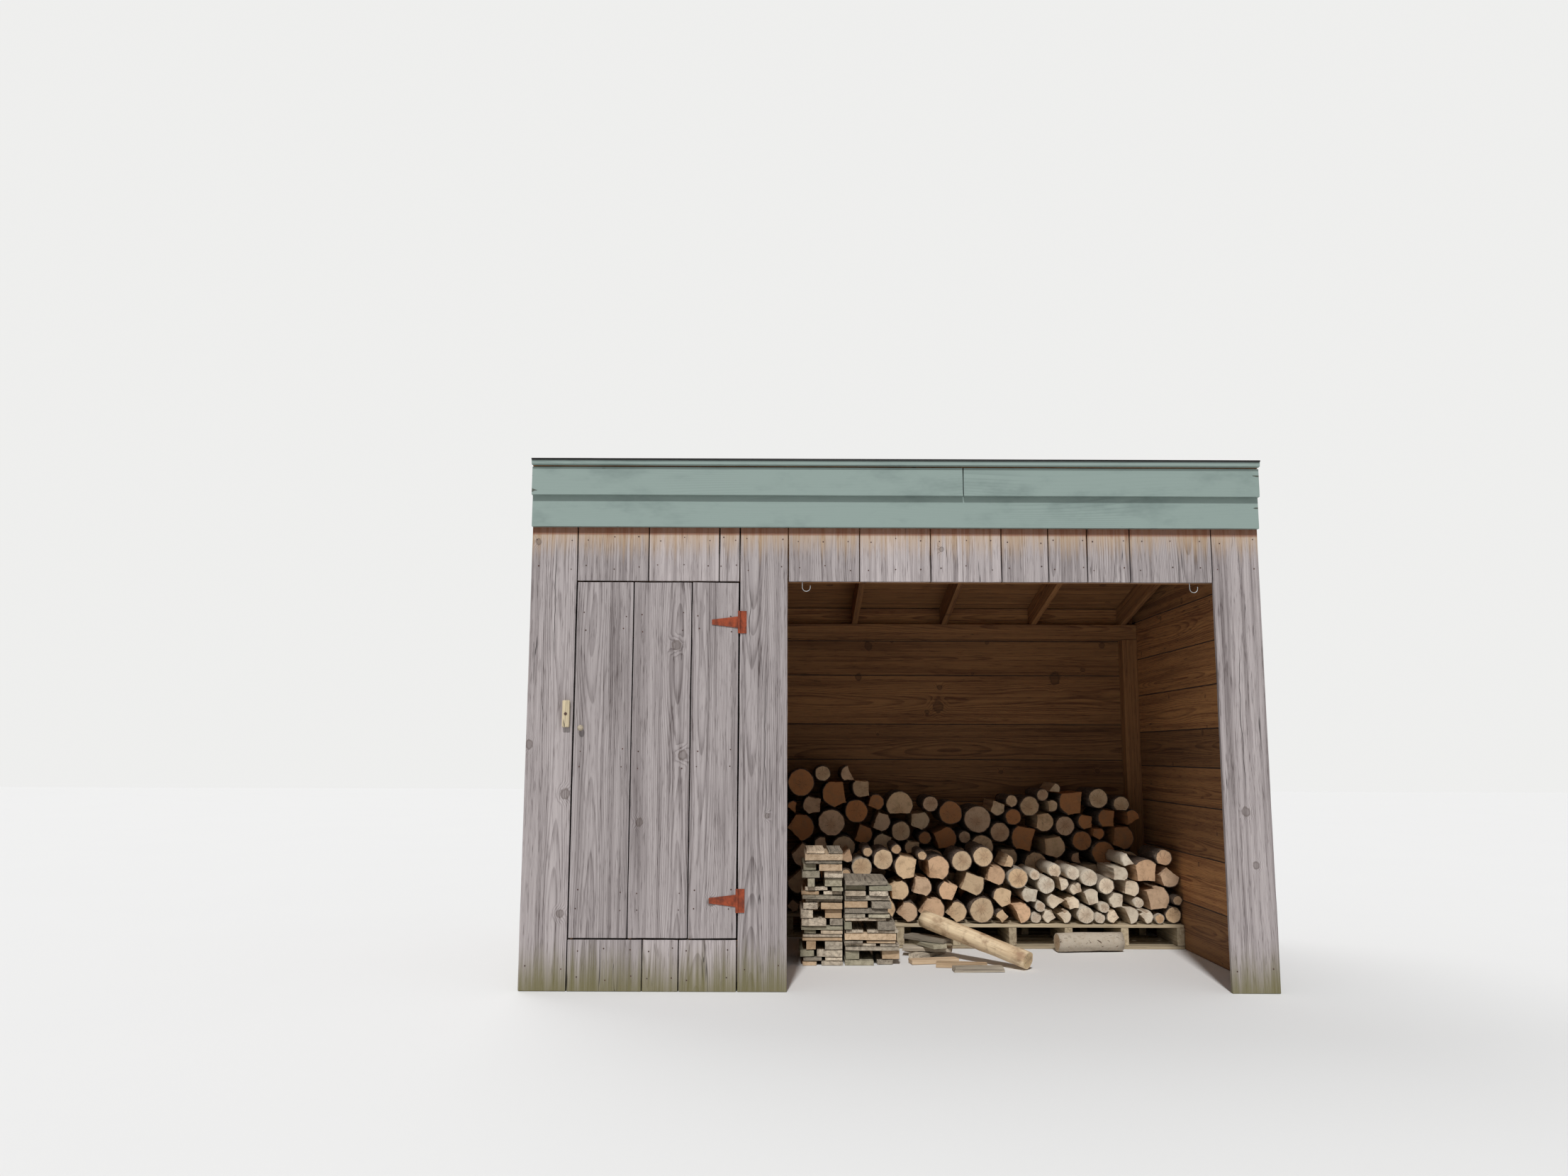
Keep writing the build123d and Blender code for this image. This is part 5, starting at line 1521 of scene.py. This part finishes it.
class LOGSTORE_OT_stage(Operator):
    """Floor, lamps, world and the camera at the photograph's place"""

    bl_idname = "logstore.stage"
    bl_label = "Stage"
    bl_options = {"REGISTER", "UNDO"}

    def execute(self, context):
        scene = context.scene
        settings = scene.logstore_stage
        bpy.ops.mesh.primitive_plane_add(size=60, location=(0, 0, 0))
        floor = bpy.context.object
        floor.name = "pale_floor"
        floor.data.materials.append(floor_material(settings))
        world = scene.world or bpy.data.worlds.new("studio")
        scene.world = world
        world.use_nodes = True
        background = world.node_tree.nodes["Background"]
        background.inputs["Color"].default_value = (0.95, 0.97, 1.0, 1.0)
        background.inputs["Strength"].default_value = settings.world_strength
        self.backdrop(world, background)
        self.lamp("key_lamp", settings.key_elevation, settings.key_side, settings.key_softness,
                  settings.key_strength)
        self.lamp("rear_lamp", elevation=math.radians(50), side=math.radians(150), softness=math.radians(40),
                  strength=settings.key_strength * 0.3)
        camera = bpy.data.cameras.new("camera")
        camera.lens = settings.focal_length
        camera.sensor_width = 36.0
        camera.clip_start, camera.clip_end = 0.05, 200.0
        holder = linked("camera", camera)
        holder.location = (settings.camera_side, FRONT_FACE - settings.camera_distance, settings.camera_height)
        tilt = Matrix.Rotation(math.pi / 2 + settings.camera_pitch, 4, "X")
        roll = Matrix.Rotation(settings.camera_roll, 4, "Z")
        holder.rotation_euler = (tilt @ roll).to_euler()
        scene.camera = holder
        scene.view_settings.view_transform = "Standard"
        return {"FINISHED"}

    def backdrop(self, world, background):
        """The camera sees a plain pale backdrop, while the lamps' level stays on the shed."""
        sky = Nodes(world.node_tree)
        seen = sky.add("ShaderNodeBackground", {"Color": (0.86, 0.86, 0.85), "Strength": 1.0}).outputs[0]
        path = sky.add("ShaderNodeLightPath").outputs
        either = sky.math("MAXIMUM", path["Is Camera Ray"], path["Is Glossy Ray"])
        blend = sky.add("ShaderNodeMixShader", {0: either, 1: background.outputs[0], 2: seen}).outputs[0]
        sky.feed(world.node_tree.nodes["World Output"].inputs["Surface"], blend)

    def lamp(self, name, elevation, side, softness, strength):
        """A far soft lamp, side being its turn to the left of the camera's view."""
        data = bpy.data.lights.new(name, "SUN")
        data.angle = softness
        data.energy = strength
        lamp = linked(name, data)
        towards = Vector((-math.sin(side) * math.cos(elevation), -math.cos(side) * math.cos(elevation),
                          math.sin(elevation)))
        lamp.location = towards * 8
        lamp.rotation_euler = (-towards).to_track_quat("-Z", "Y").to_euler()


STEPS = (
    LOGSTORE_OT_front_boards,
    LOGSTORE_OT_walls,
    LOGSTORE_OT_timber,
    LOGSTORE_OT_trim,
    LOGSTORE_OT_roof,
    LOGSTORE_OT_door_fittings,
    LOGSTORE_OT_nails,
    LOGSTORE_OT_firewood,
    LOGSTORE_OT_offcuts,
    LOGSTORE_OT_stage,
)


class LOGSTORE_PT_steps(Panel):
    """Lists the steps that dress the log store"""

    bl_label = "Log Store"
    bl_idname = "LOGSTORE_PT_steps"
    bl_space_type = "VIEW_3D"
    bl_region_type = "UI"
    bl_category = "Log Store"

    def draw(self, context):
        for step in STEPS:
            self.layout.operator(step.bl_idname)
        for group in SETTINGS:
            box = self.layout.box()
            box.label(text=group[len("logstore_"):].title())
            for name in SETTINGS[group].__annotations__:
                box.prop(getattr(context.scene, group), name)


SETTINGS = {
    "logstore_boards": BoardSettings,
    "logstore_trim": TrimSettings,
    "logstore_roof": RoofSettings,
    "logstore_fittings": FittingSettings,
    "logstore_firewood": FirewoodSettings,
    "logstore_stage": StageSettings,
}


def register():
    for name, group in SETTINGS.items():
        bpy.utils.register_class(group)
        setattr(bpy.types.Scene, name, PointerProperty(type=group))
    for step in STEPS:
        bpy.utils.register_class(step)
    bpy.utils.register_class(LOGSTORE_PT_steps)


def unregister():
    bpy.utils.unregister_class(LOGSTORE_PT_steps)
    for step in reversed(STEPS):
        bpy.utils.unregister_class(step)
    for name, group in SETTINGS.items():
        delattr(bpy.types.Scene, name)
        bpy.utils.unregister_class(group)


def main():
    register()
    for step in STEPS:
        family, name = step.bl_idname.split(".")
        getattr(getattr(bpy.ops, family), name)()


if __name__ == "__main__":
    main()
